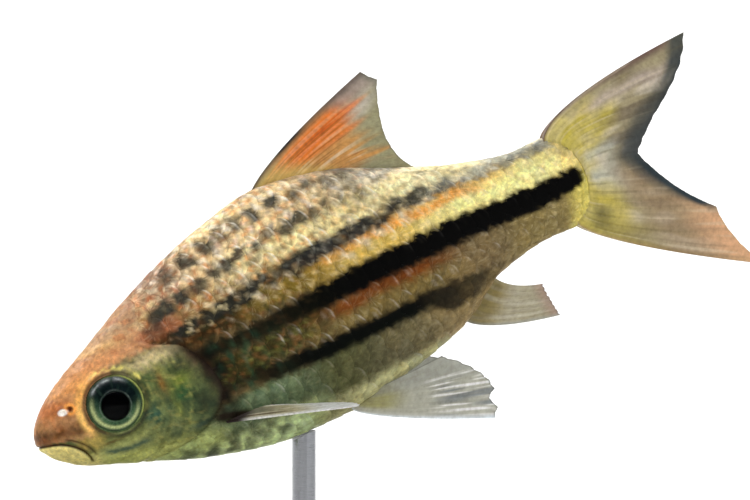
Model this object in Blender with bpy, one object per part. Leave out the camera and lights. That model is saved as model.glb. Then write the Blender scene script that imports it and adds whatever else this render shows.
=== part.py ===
"""A lined barb, a small striped fish, swimming nose down on a plain display stand.

Sizes are in millimetres, and the meshes are made in metres. The fish is modelled in its own frame: x runs
from the tip of the snout to the tail, y to its right and z up to its back, with z = 0 on its long axis.
An empty then pitches it nose down over the stand. The origin is the middle of the stand's foot, +Z up.
"""

import math
from collections import namedtuple

import bmesh
import bpy
import numpy as np
from mathutils import Matrix, Vector

MM = 0.001
GAP = 0.3  # between nodes that touch
PITCH = math.radians(24.0)  # nose down
HELD_AT = 38.0  # the x of the fish that is over the middle of the stand
HELD_HEIGHT = 43.0  # of the fish's long axis there

# The body, from the snout to the end of the tail stalk, at the places that shape it
Station = namedtuple("Station", "x back belly half_width widest")
TAIL_STALK = Station(72.0, 6.4, -6.0, 2.4, 0.2)
TAIL_ROOT = Station(76.0, 6.5, -6.2, 1.8, 0.1)
BODY_END = 80.6
STATIONS = (
    Station(0.0, -1.8, -1.8, 0.0, -1.8),  # tip of the snout
    Station(1.0, 0.5, -4.2, 2.1, -1.8),  # lips
    Station(4.0, 3.0, -6.7, 3.6, -1.6),  # nostrils
    Station(10.0, 6.2, -9.2, 5.0, -1.4),  # eyes
    Station(20.0, 11.0, -13.0, 6.4, -1.2),  # rear of the gill covers
    Station(30.0, 14.3, -15.1, 7.0, -0.8),  # breast
    Station(38.0, 15.8, -15.3, 6.9, -0.4),  # front of the dorsal fin
    Station(47.5, 14.3, -13.8, 6.0, 0.0),  # middle of the dorsal fin
    Station(56.5, 10.7, -11.5, 4.6, 0.2),  # vent
    Station(64.0, 8.0, -7.3, 3.4, 0.3),  # rear of the anal fin
    TAIL_STALK,
    TAIL_ROOT,
    Station(BODY_END, 6.5, -6.2, 0.9, 0.1),
)
BACK_POWER, BELLY_POWER = 1.04, 0.94  # over 1 a section is narrower than an ellipse, under 1 it is fuller

# The rear rim of the gill cover, an arc in side view, with the nape above it and the throat below it
GILL_CENTRE = (13.0, -4.0)
GILL_REACH, GILL_RISE, GILL_DROP = 9.8, 9.3, 5.7
NAPE_X = 19.8
THROAT_X = 12.0
COVER_LIFT = 0.35  # how far the cover's rim stands over the shoulder
COVER_SLOPE = 7.0  # the length over which it rises to that
VENT_X = 56.0  # the torso ends and the tail begins here

EYE_AT = (10.3, 4.75, -0.9)  # middle of the visible disc, on the right side
EYE_RADIUS, EYE_DEPTH = 3.55, 2.0
EYE_SINK = 0.75  # how far the middle of the eyeball lies under its rim
EYE_FORWARD, EYE_UP = math.radians(10.5), math.radians(5.0)
PUPIL_RADIUS, PUPIL_RAISE = 1.85, 0.12
ORBIT_ROLL = 0.42  # thickness radius of the rim of skin round the eye

MOUTH_CENTRE_Z = -7.0
MOUTH_LENGTH, MOUTH_HEIGHT = 5.3, 4.5
MOUTH_END = math.radians(84.0)
MOUTH_LINE_RADIUS = 0.3
LIP_RADIUS, LIP_OFFSET = 0.38, 0.46
Nostril = namedtuple("Nostril", "x z radius")
NOSTRILS = (Nostril(4.2, 0.9, 0.5), Nostril(5.15, 1.15, 0.4))
NOSTRIL_FLAP = Nostril(4.7, 1.1, 0.42)

# Fin webs and rays
WEB_THICK = 0.5
RAY_THICK_ROOT, RAY_THICK_TIP = 1.0, 0.55
SCALLOP = 0.25  # how far the web's edge lies behind the rays' tips
SINK = 1.0  # how far a ray starts inside the body
BOW_SKEW = 0.6  # under 1, a ray's bow is nearer to its root

ROD_RADIUS, ROD_X = 1.5, 0.0
BASE_LENGTH, BASE_WIDTH, BASE_HEIGHT = 86.0, 46.0, 6.0
BASE_CORNER, BASE_BEVEL = 9.0, 0.8

Finish = namedtuple("Finish", "colour roughness metallic")
FINISHES = {
    "skin_head": Finish((0.55, 0.42, 0.22), 0.35, 0.1),
    "skin_body": Finish((0.50, 0.40, 0.20), 0.35, 0.2),
    "eye": Finish((0.08, 0.12, 0.10), 0.10, 0.0),
    "fin_dorsal": Finish((0.75, 0.33, 0.12), 0.45, 0.0),
    "fin_tail": Finish((0.52, 0.48, 0.25), 0.45, 0.0),
    "fin_clear": Finish((0.62, 0.62, 0.56), 0.40, 0.0),
    "stand_base": Finish((0.03, 0.03, 0.032), 0.40, 0.0),
    "stand_rod": Finish((0.60, 0.60, 0.61), 0.30, 1.0),
}


def clear_scene():
    for obj in list(bpy.data.objects):
        bpy.data.objects.remove(obj)


def material(name):
    if name in bpy.data.materials:
        return bpy.data.materials[name]
    finish = FINISHES[name]
    made = bpy.data.materials.new(name)
    made.use_nodes = True
    shader = made.node_tree.nodes["Principled BSDF"]
    shader.inputs["Base Color"].default_value = (*finish.colour, 1.0)
    shader.inputs["Roughness"].default_value = finish.roughness
    shader.inputs["Metallic"].default_value = finish.metallic
    return made


def new_object(name, points, faces):
    """An object from points in millimetres."""
    mesh = bpy.data.meshes.new(name)
    mesh.from_pydata([Vector(p) * MM for p in points], [], faces)
    obj = bpy.data.objects.new(name, mesh)
    bpy.context.scene.collection.objects.link(obj)
    return obj


def face_outwards(obj):
    shape = bmesh.new()
    shape.from_mesh(obj.data)
    bmesh.ops.recalc_face_normals(shape, faces=shape.faces)
    if shape.calc_volume(signed=True) < 0:
        bmesh.ops.reverse_faces(shape, faces=shape.faces)
    shape.to_mesh(obj.data)
    shape.free()


def baked_mesh(obj):
    """The object's mesh with its modifiers applied."""
    graph = bpy.context.evaluated_depsgraph_get()
    return bpy.data.meshes.new_from_object(obj.evaluated_get(graph))


def combine(target, operation, tools):
    """Applies one Boolean of all the tools to the target, and removes the tools."""
    group = bpy.data.collections.new("tools")
    for tool in tools:
        group.objects.link(tool)
    boolean = target.modifiers.new(operation.lower(), "BOOLEAN")
    boolean.operation = operation
    boolean.solver = "EXACT"
    boolean.operand_type = "COLLECTION"
    boolean.collection = group
    bpy.context.view_layer.update()
    joined = baked_mesh(target)
    target.modifiers.clear()
    target.data = joined
    for tool in tools:
        bpy.data.objects.remove(tool)
    bpy.data.collections.remove(group)


def keep_largest(obj):
    """Drops every loose scrap that a Boolean left, and shades the object smooth."""
    shape = bmesh.new()
    shape.from_mesh(obj.data)
    shape.verts.ensure_lookup_table()
    seen, islands = set(), []
    for start in shape.verts:
        if start in seen:
            continue
        island, queue = [], [start]
        seen.add(start)
        while queue:
            vertex = queue.pop()
            island.append(vertex)
            for edge in vertex.link_edges:
                other = edge.other_vert(vertex)
                if other not in seen:
                    seen.add(other)
                    queue.append(other)
        islands.append(island)
    islands.sort(key=len)
    for island in islands[:-1]:
        bmesh.ops.delete(shape, geom=island, context="VERTS")
    bmesh.ops.triangulate(shape, faces=[f for f in shape.faces if len(f.verts) > 4])
    shape.to_mesh(obj.data)
    shape.free()
    obj.data.shade_smooth()
    obj.data.set_sharp_from_angle(angle=math.radians(35))


def smooth_curve(xs, values):
    """A curve through the points with no overshoot between them, as a function."""
    xs, values = np.asarray(xs, float), np.asarray(values, float)
    steps = np.diff(xs)
    slopes = np.diff(values) / steps
    tangents = np.zeros(len(xs))
    tangents[0], tangents[-1] = slopes[0], slopes[-1]
    for i in range(1, len(xs) - 1):
        before, after = slopes[i - 1], slopes[i]
        if before * after > 0:
            weight = (steps[i] + 2 * steps[i - 1]) / (3 * (steps[i] + steps[i - 1]))
            tangents[i] = before * after / (weight * after + (1 - weight) * before)

    def at(x):
        i = int(np.clip(np.searchsorted(xs, x) - 1, 0, len(steps) - 1))
        t = (x - xs[i]) / steps[i]
        rise = (3 - 2 * t) * t * t
        return (
            values[i] * (1 - rise)
            + values[i + 1] * rise
            + steps[i] * t * (1 - t) * ((1 - t) * tangents[i] - t * tangents[i + 1])
        )

    return at


# The square root of x makes the snout round: heights then grow from its tip as they do on a ball.
ROOTS = [math.sqrt(s.x) for s in STATIONS]
BACK = smooth_curve(ROOTS, [s.back for s in STATIONS])
BELLY = smooth_curve(ROOTS, [s.belly for s in STATIONS])
HALF_WIDTH = smooth_curve(ROOTS, [s.half_width for s in STATIONS])
WIDEST = smooth_curve(ROOTS, [s.widest for s in STATIONS])


def section(x):
    """The back, belly, half width and widest height of the body at x, rounded off at the tail's end."""
    root = math.sqrt(max(x, 0.0))
    back, belly, half, widest = BACK(root), BELLY(root), HALF_WIDTH(root), WIDEST(root)
    past = (x - TAIL_ROOT.x + 1.0) / (BODY_END - TAIL_ROOT.x + 1.0)
    if past > 0:
        shrink = math.sqrt(max(1.0 - past * past, 0.0))
        return widest + (back - widest) * shrink, widest + (belly - widest) * shrink, half * shrink, widest
    return back, belly, half, widest


def surface_y(x, z):
    """Half the body's width at x and z, or 0 outside it."""
    back, belly, half, widest = section(x)
    top = z > widest
    reach = (back - widest) if top else (widest - belly)
    power = BACK_POWER if top else BELLY_POWER
    share = abs(z - widest) / reach if reach > 0 else 1.0
    if share >= 1.0:
        return 0.0
    angle = math.asin(share ** (1.0 / power))
    return half * math.cos(angle) ** power


def ring(x, count):
    """Points round the body's section at x, from the right side up and over the back."""
    back, belly, half, widest = section(x)
    points = []
    for k in range(count):
        angle = 2 * math.pi * k / count
        c, s = math.cos(angle), math.sin(angle)
        power = BACK_POWER if s >= 0 else BELLY_POWER
        y = half * math.copysign(abs(c) ** power, c)
        reach = (back - widest) if s >= 0 else (widest - belly)
        points.append((x, y, widest + reach * math.copysign(abs(s) ** power, s)))
    return points


def loft(name, xs, count, grow=0.0, lift=None):
    """A closed length of the body with a ring at each x. lift moves a point out to the side."""
    points = []
    for x in xs:
        points += ring(x, count)
    if lift:
        points = [(x, y + lift(x, y, z), z) for x, y, z in points]
    faces = []
    for i in range(len(xs) - 1):
        for k in range(count):
            a, b = i * count + k, i * count + (k + 1) % count
            faces.append((a, b, b + count, a + count))
    first, last = len(points), len(points) + 1
    points.append(tuple(np.mean(points[:count], axis=0)))
    points.append(tuple(np.mean(points[-1 - count : -1], axis=0)))
    end = (len(xs) - 1) * count
    for k in range(count):
        nxt = (k + 1) % count
        faces.append((first, nxt, k))
        faces.append((last, end + k, end + nxt))
    obj = new_object(name, points, faces)
    face_outwards(obj)
    if grow:
        moved = [vertex.co + vertex.normal * grow * MM for vertex in obj.data.vertices]
        for vertex, place in zip(obj.data.vertices, moved):
            vertex.co = place
    return obj


def whole_body(name, grow):
    """The whole body, grown evenly, to cut its neighbours by."""
    snout = [(0.25 * i) ** 2 for i in range(1, 22)]
    trunk = list(np.arange(29.0, 76.0, 1.6))
    end = [BODY_END - 5.2 * (1 - t / 7) ** 2 for t in range(0, 7)] + [BODY_END - 0.01]
    return loft(name, [0.01] + snout + trunk + end, 56, grow)


def gill_line():
    """The line in side view, from above the nape to below the throat, that parts the head from the torso."""
    start = math.acos((NAPE_X - GILL_CENTRE[0]) / GILL_REACH)
    line = [(NAPE_X - 0.6, 25.0), (NAPE_X - 0.1, GILL_CENTRE[1] + GILL_RISE)]
    for angle in np.linspace(start, -math.pi / 2, 18):
        rise = GILL_RISE if angle > 0 else GILL_DROP
        line.append((GILL_CENTRE[0] + GILL_REACH * math.cos(angle), GILL_CENTRE[1] + rise * math.sin(angle)))
    return line + [(THROAT_X, -25.0)]


def beside(line, distance):
    """The line moved sideways, towards the tail where distance is positive."""
    points = [Vector(p) for p in line]
    moved = []
    for i, point in enumerate(points):
        along = points[min(i + 1, len(points) - 1)] - points[max(i - 1, 0)]
        moved.append(point + Vector((-along.y, along.x)).normalized() * distance)
    return [tuple(p) for p in moved]


def prism(name, outline, reach=25.0):
    """A closed slab across the fish with this outline in side view."""
    count = len(outline)
    points = [(x, -reach, z) for x, z in outline] + [(x, reach, z) for x, z in outline]
    faces = [tuple(range(count)), tuple(range(2 * count - 1, count - 1, -1))]
    for k in range(count):
        nxt = (k + 1) % count
        faces.append((k, k + count, nxt + count, nxt))
    obj = new_object(name, points, faces)
    face_outwards(obj)
    return obj


def gill_x(z):
    """Where the gill cover's rim is at this height."""
    rise = GILL_RISE if z > GILL_CENTRE[1] else GILL_DROP
    share = (z - GILL_CENTRE[1]) / rise
    if abs(share) >= 1:
        return None
    return GILL_CENTRE[0] + GILL_REACH * math.sqrt(1 - share * share)


def cover_lift(x, y, z):
    """The gill cover rises towards its rear rim, so that it stands over the shoulder."""
    rim = gill_x(z)
    if rim is None or z > 4.5 or x < rim - COVER_SLOPE:
        return 0.0
    share = min((x - rim + COVER_SLOPE) / COVER_SLOPE, 1.0)
    edge = math.sqrt(max(1.0 - ((z - GILL_CENTRE[1]) / GILL_RISE) ** 2, 0.0))
    return math.copysign(COVER_LIFT * share * share * (3 - 2 * share) * edge, y)


def cut_by(obj, name, outline):
    combine(obj, "INTERSECT", [prism(name, outline)])


def side_path(offset, count):
    """Points on the skin along the mouth's arc, moved up by offset, from one corner round to the other."""
    dense = []
    for angle in np.linspace(0.0, MOUTH_END, 500):
        x = (MOUTH_LENGTH + offset) * math.sin(angle)
        z = MOUTH_CENTRE_Z + (MOUTH_HEIGHT + offset) * math.cos(angle)
        y = surface_y(x, z)
        if y > 0:
            dense.append((x, y, z))
    dense.insert(0, (dense[0][0], 0.0, dense[0][2]))
    dense = np.array(dense)
    run = np.concatenate([[0.0], np.cumsum(np.linalg.norm(np.diff(dense, axis=0), axis=1))])
    wanted = np.linspace(0.0, run[-1], count)
    right = np.stack([np.interp(wanted, run, dense[:, k]) for k in range(3)], axis=1)
    left = right[:0:-1] * (1, -1, 1)
    return np.concatenate([left, right])


def tube(name, path, radius, end_share):
    """A round closed tube along the path, thinner at both ends."""
    data = bpy.data.curves.new(name, "CURVE")
    data.dimensions = "3D"
    data.bevel_depth = radius * MM
    data.bevel_resolution = 2
    data.use_fill_caps = True
    spline = data.splines.new("POLY")
    spline.points.add(len(path) - 1)
    for i, (point, place) in enumerate(zip(spline.points, path)):
        point.co = (*(Vector(place) * MM), 1.0)
        middle = 1.0 - abs(2.0 * i / (len(path) - 1) - 1.0)
        point.radius = end_share + (1.0 - end_share) * min(1.0, middle * 3.0)
    curve = bpy.data.objects.new(name, data)
    bpy.context.scene.collection.objects.link(curve)
    bpy.context.view_layer.update()
    mesh = baked_mesh(curve)
    bpy.data.objects.remove(curve)
    obj = bpy.data.objects.new(name, mesh)
    bpy.context.scene.collection.objects.link(obj)
    shape = bmesh.new()
    shape.from_mesh(mesh)
    bmesh.ops.remove_doubles(shape, verts=shape.verts, dist=1e-6)
    shape.to_mesh(mesh)
    shape.free()
    face_outwards(obj)
    return obj


def ball(name, centre, radii, turn=None, segments=12, rings=8):
    shape = bmesh.new()
    bmesh.ops.create_uvsphere(shape, u_segments=segments, v_segments=rings, radius=1.0)
    place = Matrix.Translation(Vector(centre) * MM) @ (turn or Matrix.Identity(4))
    shape.transform(place @ Matrix.Diagonal((*(Vector(radii) * MM), 1.0)))
    mesh = bpy.data.meshes.new(name)
    shape.to_mesh(mesh)
    shape.free()
    obj = bpy.data.objects.new(name, mesh)
    bpy.context.scene.collection.objects.link(obj)
    return obj


def eye_turn(side):
    """Turns +Z to the way that the eye on this side looks: 1 is right, -1 left."""
    look = Vector(
        (
            -math.sin(EYE_FORWARD) * math.cos(EYE_UP),
            side * math.cos(EYE_FORWARD) * math.cos(EYE_UP),
            math.sin(EYE_UP),
        )
    )
    return look.to_track_quat("Z", "Y").to_matrix().to_4x4(), look


def eye_centre(side):
    look = eye_turn(side)[1]
    return Vector((EYE_AT[0], side * EYE_AT[1], EYE_AT[2])) - look * EYE_SINK


def eyeball(name, side, grow=0.0):
    """A flattened ball with the pupil a little proud of it, or a grown plain one to cut its socket by."""
    turn, _ = eye_turn(side)
    wide = EYE_RADIUS / math.sqrt(1 - (EYE_SINK / EYE_DEPTH) ** 2)
    if grow:
        return ball(name, eye_centre(side), (wide + grow, wide + grow, EYE_DEPTH + grow), turn, 26, 12)
    profile = []
    for radius in (0.0, PUPIL_RADIUS * 0.6, PUPIL_RADIUS, PUPIL_RADIUS * 1.08):
        raised = PUPIL_RAISE if radius <= PUPIL_RADIUS else 0.0
        profile.append((radius, EYE_DEPTH * math.sqrt(1 - (radius / wide) ** 2) + raised))
    for angle in np.linspace(math.radians(52), math.radians(-90), 9):
        profile.append((wide * math.cos(angle), EYE_DEPTH * math.sin(angle)))
    segments = 26
    points, faces = [(0, 0, profile[0][1])], []
    for radius, height in profile[1:-1]:
        for k in range(segments):
            angle = 2 * math.pi * k / segments
            points.append((radius * math.cos(angle), radius * math.sin(angle), height))
    points.append((0, 0, profile[-1][1]))
    for k in range(segments):
        nxt = (k + 1) % segments
        faces.append((0, 1 + k, 1 + nxt))
        for row in range(len(profile) - 3):
            a, b = 1 + row * segments + k, 1 + row * segments + nxt
            faces.append((a, a + segments, b + segments, b))
        last = 1 + (len(profile) - 3) * segments
        faces.append((last + k, len(points) - 1, last + nxt))
    obj = new_object(name, points, faces)
    obj.data.transform(Matrix.Translation(eye_centre(side) * MM) @ turn)
    return obj


def orbit_rim(side):
    """The roll of skin round the eye."""
    bpy.ops.mesh.primitive_torus_add(
        major_segments=26,
        minor_segments=8,
        major_radius=(EYE_RADIUS + 0.35) * MM,
        minor_radius=ORBIT_ROLL * MM,
    )
    rim = bpy.context.object
    rim.name = "orbit_rim"
    turn, look = eye_turn(side)
    centre = Vector((EYE_AT[0], side * EYE_AT[1], EYE_AT[2])) - look * 0.25
    rim.data.transform(Matrix.Translation(centre * MM) @ turn)
    return rim


def head():
    rings = [(0.19 * i) ** 2 for i in range(1, 29)]
    obj = loft("head", [0.01] + rings, 40, lift=cover_lift)
    lips = [
        tube("upper_lip", side_path(LIP_OFFSET, 14), LIP_RADIUS, 0.55),
        tube("lower_lip", side_path(-LIP_OFFSET, 14), LIP_RADIUS, 0.55),
    ]
    flaps = []
    for side in (1, -1):
        place = (NOSTRIL_FLAP.x, side * surface_y(NOSTRIL_FLAP.x, NOSTRIL_FLAP.z), NOSTRIL_FLAP.z)
        radii = (0.22, 0.5, NOSTRIL_FLAP.radius)
        flaps.append(ball("nostril_flap", place, radii, segments=10, rings=6))
    combine(obj, "UNION", lips + flaps + [orbit_rim(1), orbit_rim(-1)])
    cut_by(obj, "head_region", [(-6.0, 25.0)] + beside(gill_line(), -GAP / 2) + [(-6.0, -25.0)])
    hollows = [eyeball("socket", 1, GAP), eyeball("socket", -1, GAP)]
    for nostril in NOSTRILS:
        for side in (1, -1):
            place = (nostril.x, side * surface_y(nostril.x, nostril.z), nostril.z)
            radii = (nostril.radius * 0.8, 0.7, nostril.radius)
            hollows.append(ball("nostril", place, radii, segments=10, rings=8))
    hollows.append(tube("mouth_line", side_path(0.0, 18), MOUTH_LINE_RADIUS, 0.6))
    combine(obj, "DIFFERENCE", hollows)
    return obj


def torso():
    obj = loft("torso", list(np.arange(9.0, 60.0, 1.7)), 40)
    outline = beside(gill_line(), GAP / 2)
    cut_by(obj, "torso_region", outline + [(VENT_X - GAP / 2, -25.0), (VENT_X - GAP / 2, 25.0)])
    return obj


def tail():
    rings = list(np.arange(53.0, 76.0, 1.6)) + [BODY_END - 4.6 * (1 - t / 6) ** 2 for t in range(0, 6)]
    obj = loft("tail", rings + [BODY_END - 0.01], 36)
    past = VENT_X + GAP / 2
    cut_by(obj, "tail_region", [(past, 25.0), (90.0, 25.0), (90.0, -25.0), (past, -25.0)])
    return obj


def fin(name, roots, tips, bows, rows=7, ray_root=RAY_THICK_ROOT):
    """A closed fin from its rays' roots and tips. Each ray is a ridge on the web, bowed at its middle.

    bows holds the first and the last ray's bow, as vectors, and the rays between blend from one to the other.
    """
    roots, tips = np.asarray(roots, float), np.asarray(tips, float)
    count = len(roots)
    wide, tall = 2 * count - 1, rows + 1
    columns = []
    for c in range(wide):
        i, is_web = c // 2, c % 2
        root = (roots[i] + roots[i + 1]) / 2 if is_web else roots[i]
        tip = (tips[i] + tips[i + 1]) / 2 if is_web else tips[i]
        reach = 1.0 - SCALLOP / np.linalg.norm(tip - root) if is_web else 1.0
        bow = np.array(bows[0]) + (np.array(bows[1]) - np.array(bows[0])) * c / (wide - 1)
        shares = reach * np.arange(tall)[:, None] / rows
        bent = shares**BOW_SKEW
        columns.append(root + (tip - root) * shares + bow * 4 * bent * (1 - bent))
    middle = np.array(columns)
    normals = np.cross(np.gradient(middle, axis=0), np.gradient(middle, axis=1))
    normals /= np.linalg.norm(normals, axis=2, keepdims=True)
    ray = ray_root + (RAY_THICK_TIP - ray_root) * np.linspace(0.0, 1.0, tall)
    ray[0] = WEB_THICK  # inside the body, where the rays crowd together
    thick = np.where((np.arange(wide) % 2)[:, None] == 1, WEB_THICK, ray[None, :])
    offset = normals * (thick / 2)[:, :, None]
    points = list((middle + offset).reshape(-1, 3)) + list((middle - offset).reshape(-1, 3))
    back = wide * tall
    faces = []
    for c in range(wide - 1):
        for r in range(rows):
            a, b = c * tall + r, (c + 1) * tall + r
            faces += [(a, b, b + 1), (a, b + 1, a + 1)]
            faces += [(back + a, back + b + 1, back + b), (back + a, back + a + 1, back + b + 1)]
    rim = [c * tall for c in range(wide)]
    rim += [(wide - 1) * tall + r for r in range(1, tall)]
    rim += [c * tall + rows for c in range(wide - 2, -1, -1)]
    rim += [r for r in range(rows - 1, 0, -1)]
    for k, a in enumerate(rim):
        b = rim[(k + 1) % len(rim)]
        faces += [(a, back + a, back + b), (a, back + b, b)]
    obj = new_object(name, points, faces)
    face_outwards(obj)
    combine(obj, "DIFFERENCE", [whole_body("grown_body", GAP)])
    return obj


def curve(first, corner, last, count):
    """count points along a curve from first to last that bends towards corner."""
    first, corner, last = (np.asarray(p, float) for p in (first, corner, last))
    points = []
    for t in np.linspace(0.0, 1.0, count):
        points.append(first * (1 - t) ** 2 + corner * 2 * t * (1 - t) + last * t * t)
    return points


def on_side(points, side):
    """The points of the right side, or mirrored where side is -1."""
    return [(p[0], side * p[1], p[2]) for p in points]


DORSAL_RAYS = 11
DORSAL_FRONT_X, DORSAL_REAR_X = 36.9, 54.8
DORSAL_TIP = (56.7, 0.0, 23.9)
DORSAL_SHOULDER, DORSAL_HOLLOW, DORSAL_LAST = (58.4, 0.0, 22.1), (54.9, 0.0, 13.8), (57.3, 0.0, 11.1)


def dorsal_fin():
    roots = [(x, 0.0, section(x)[0] - SINK) for x in np.linspace(DORSAL_FRONT_X, DORSAL_REAR_X, DORSAL_RAYS)]
    tips = [DORSAL_TIP] + curve(DORSAL_SHOULDER, DORSAL_HOLLOW, DORSAL_LAST, DORSAL_RAYS - 1)
    return fin("dorsal_fin", roots, tips, [(-0.4, 0.0, 1.1), (0.0, 0.0, 0.1)])


ANAL_RAYS = 8
ANAL_FRONT_X, ANAL_REAR_X = 56.5, 62.4
ANAL_TIP, ANAL_HOLLOW, ANAL_LAST = (69.0, 0.0, -15.9), (68.4, 0.0, -13.4), (68.4, 0.0, -11.1)


def anal_fin():
    roots = [(x, 0.0, section(x)[1] + SINK) for x in np.linspace(ANAL_FRONT_X, ANAL_REAR_X, ANAL_RAYS)]
    tips = curve(ANAL_TIP, ANAL_HOLLOW, ANAL_LAST, ANAL_RAYS)
    return fin("anal_fin", roots, tips, [(-0.4, 0.0, -1.1), (0.0, 0.0, -1.1)], rows=6)


CAUDAL_RAYS = 19  # the tenth, in the middle, ends at the fork
CAUDAL_UPPER_TIP, CAUDAL_UPPER_HEEL = (100.4, 0.0, 11.4), (98.9, 0.0, 7.3)
CAUDAL_UPPER_BEND = (94.4, 0.0, 4.6)
CAUDAL_UPPER_HOLLOW, CAUDAL_FORK, CAUDAL_LOWER_HOLLOW = (89.9, 0.0, 1.8), (87.8, 0.0, -0.8), (90.0, 0.0, -7.0)
CAUDAL_SHOULDER = (95.2, 0.0, -11.8)
CAUDAL_LOWER_HEEL, CAUDAL_LOWER_TIP = (95.3, 0.0, -16.3), (98.5, 0.0, -21.7)
CAUDAL_BEND_RAYS = 5  # from each lobe's tip to where its edge bends towards the fork
CAUDAL_ROOT_TURN = math.radians(80)


def caudal_fin():
    start, reach = TAIL_ROOT.x - 1.0, BODY_END - TAIL_ROOT.x + 1.0 - SINK
    rise = TAIL_ROOT.back - TAIL_ROOT.widest - SINK * 0.6
    roots = []
    for angle in np.linspace(CAUDAL_ROOT_TURN, -CAUDAL_ROOT_TURN, CAUDAL_RAYS):
        roots.append((start + reach * math.cos(angle), 0.0, TAIL_ROOT.widest + rise * math.sin(angle)))
    inner = CAUDAL_RAYS // 2 + 2 - CAUDAL_BEND_RAYS
    tips = curve(CAUDAL_UPPER_TIP, CAUDAL_UPPER_HEEL, CAUDAL_UPPER_BEND, CAUDAL_BEND_RAYS)
    tips += curve(CAUDAL_UPPER_BEND, CAUDAL_UPPER_HOLLOW, CAUDAL_FORK, inner)[1:]
    tips += curve(CAUDAL_FORK, CAUDAL_LOWER_HOLLOW, CAUDAL_SHOULDER, inner)[1:]
    tips += curve(CAUDAL_SHOULDER, CAUDAL_LOWER_HEEL, CAUDAL_LOWER_TIP, CAUDAL_BEND_RAYS)[1:]
    return fin("caudal_fin", roots, tips, [(-0.4, 0.0, 1.9), (-0.4, 0.0, -1.1)], rows=8)


PECTORAL_RAYS = 9
PECTORAL_FRONT, PECTORAL_REAR = (20.8, -8.55), (23.8, -8.8)  # x and z of the base on the flank
PECTORAL_LONGEST, PECTORAL_SHORTEST = 18.5, 8.0  # with their sunk roots
PECTORAL_SPREAD, PECTORAL_CLOSED = math.radians(31), math.radians(9)  # first and last ray, out from the body
PECTORAL_DROP = math.radians(15)  # below the fish's long axis


def pectoral_fin(name, side):
    """Held out nearly level, like a wing, so that a viewer beside the fish sees its edge."""
    roots, tips = [], []
    for share in np.linspace(0.0, 1.0, PECTORAL_RAYS):
        x = PECTORAL_FRONT[0] + (PECTORAL_REAR[0] - PECTORAL_FRONT[0]) * share
        z = PECTORAL_FRONT[1] + (PECTORAL_REAR[1] - PECTORAL_FRONT[1]) * share
        out = PECTORAL_SPREAD + (PECTORAL_CLOSED - PECTORAL_SPREAD) * share
        length = PECTORAL_LONGEST + (PECTORAL_SHORTEST - PECTORAL_LONGEST) * share**1.5
        root = np.array((x, surface_y(x, z) - SINK, z))
        run = length * math.cos(out)
        sunk = run * math.sin(PECTORAL_DROP)
        roots.append(root)
        tips.append(root + (run * math.cos(PECTORAL_DROP), length * math.sin(out), -sunk))
    bows = [(0.1, side * 0.7, 0.1), (0.1, side * 0.7, 0.6)]
    return fin(name, on_side(roots, side), on_side(tips, side), bows, ray_root=0.7)


PELVIC_RAYS = 9
PELVIC_FRONT, PELVIC_REAR = (37.7, 2.2, -14.6), (40.8, 2.0, -13.7)
PELVIC_TIP, PELVIC_CORNER, PELVIC_LAST = (53.7, 5.5, -23.2), (58.1, 5.0, -19.0), (50.9, 3.6, -13.3)
PELVIC_NOTCH_RAY, PELVIC_NOTCH = 2, 0.06  # the share of its length by which this ray is shorter


def pelvic_fin(name, side):
    middle = (np.array(PELVIC_FRONT) + np.array(PELVIC_REAR)) / 2
    roots = curve(PELVIC_FRONT, middle, PELVIC_REAR, PELVIC_RAYS)
    tips = curve(PELVIC_TIP, PELVIC_CORNER, PELVIC_LAST, PELVIC_RAYS)
    tips[PELVIC_NOTCH_RAY] += (roots[PELVIC_NOTCH_RAY] - tips[PELVIC_NOTCH_RAY]) * PELVIC_NOTCH
    bows = [(-0.2, side * 0.4, -0.7), (0.0, side * 0.4, 0.0)]
    return fin(name, on_side(roots, side), on_side(tips, side), bows, ray_root=0.9)


def stand_base():
    """A flat plate with round corners and a narrow bevel round its top."""
    outline = []
    for corner in range(4):
        sx, sy = ((1, 1), (-1, 1), (-1, -1), (1, -1))[corner]
        centre = (sx * (BASE_LENGTH / 2 - BASE_CORNER), sy * (BASE_WIDTH / 2 - BASE_CORNER))
        for step in range(6):
            angle = math.pi / 2 * (corner + step / 5)
            x, y = BASE_CORNER * math.cos(angle), BASE_CORNER * math.sin(angle)
            outline.append((centre[0] + x, centre[1] + y))
    shape = bmesh.new()
    floor = shape.faces.new([shape.verts.new((x * MM, y * MM, 0.0)) for x, y in outline])
    raised = bmesh.ops.extrude_face_region(shape, geom=[floor])["geom"]
    top = [v for v in raised if isinstance(v, bmesh.types.BMVert)]
    bmesh.ops.translate(shape, verts=top, vec=(0, 0, BASE_HEIGHT * MM))
    bmesh.ops.recalc_face_normals(shape, faces=shape.faces)
    mesh = bpy.data.meshes.new("stand_base")
    shape.to_mesh(mesh)
    shape.free()
    obj = bpy.data.objects.new("stand_base", mesh)
    bpy.context.scene.collection.objects.link(obj)
    bevel = obj.modifiers.new("top_bevel", "BEVEL")
    bevel.width = BASE_BEVEL * MM
    bevel.segments = 2
    bevel.limit_method = "ANGLE"
    bevel.angle_limit = math.radians(60)
    return obj


def stand_rod(fish):
    """An upright rod from just over the base to just under the belly, whose shape its top end takes."""
    bottom, top = BASE_HEIGHT + GAP, HELD_HEIGHT - 8.0
    shape = bmesh.new()
    bmesh.ops.create_cone(
        shape,
        cap_ends=True,
        segments=24,
        radius1=ROD_RADIUS * MM,
        radius2=ROD_RADIUS * MM,
        depth=(top - bottom) * MM,
        matrix=Matrix.Translation((ROD_X * MM, 0, (bottom + top) / 2 * MM)),
    )
    mesh = bpy.data.meshes.new("stand_rod")
    shape.to_mesh(mesh)
    shape.free()
    obj = bpy.data.objects.new("stand_rod", mesh)
    bpy.context.scene.collection.objects.link(obj)
    belly = whole_body("grown_body", GAP)
    belly.matrix_world = fish.matrix_world
    combine(obj, "DIFFERENCE", [belly])
    return obj


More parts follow.
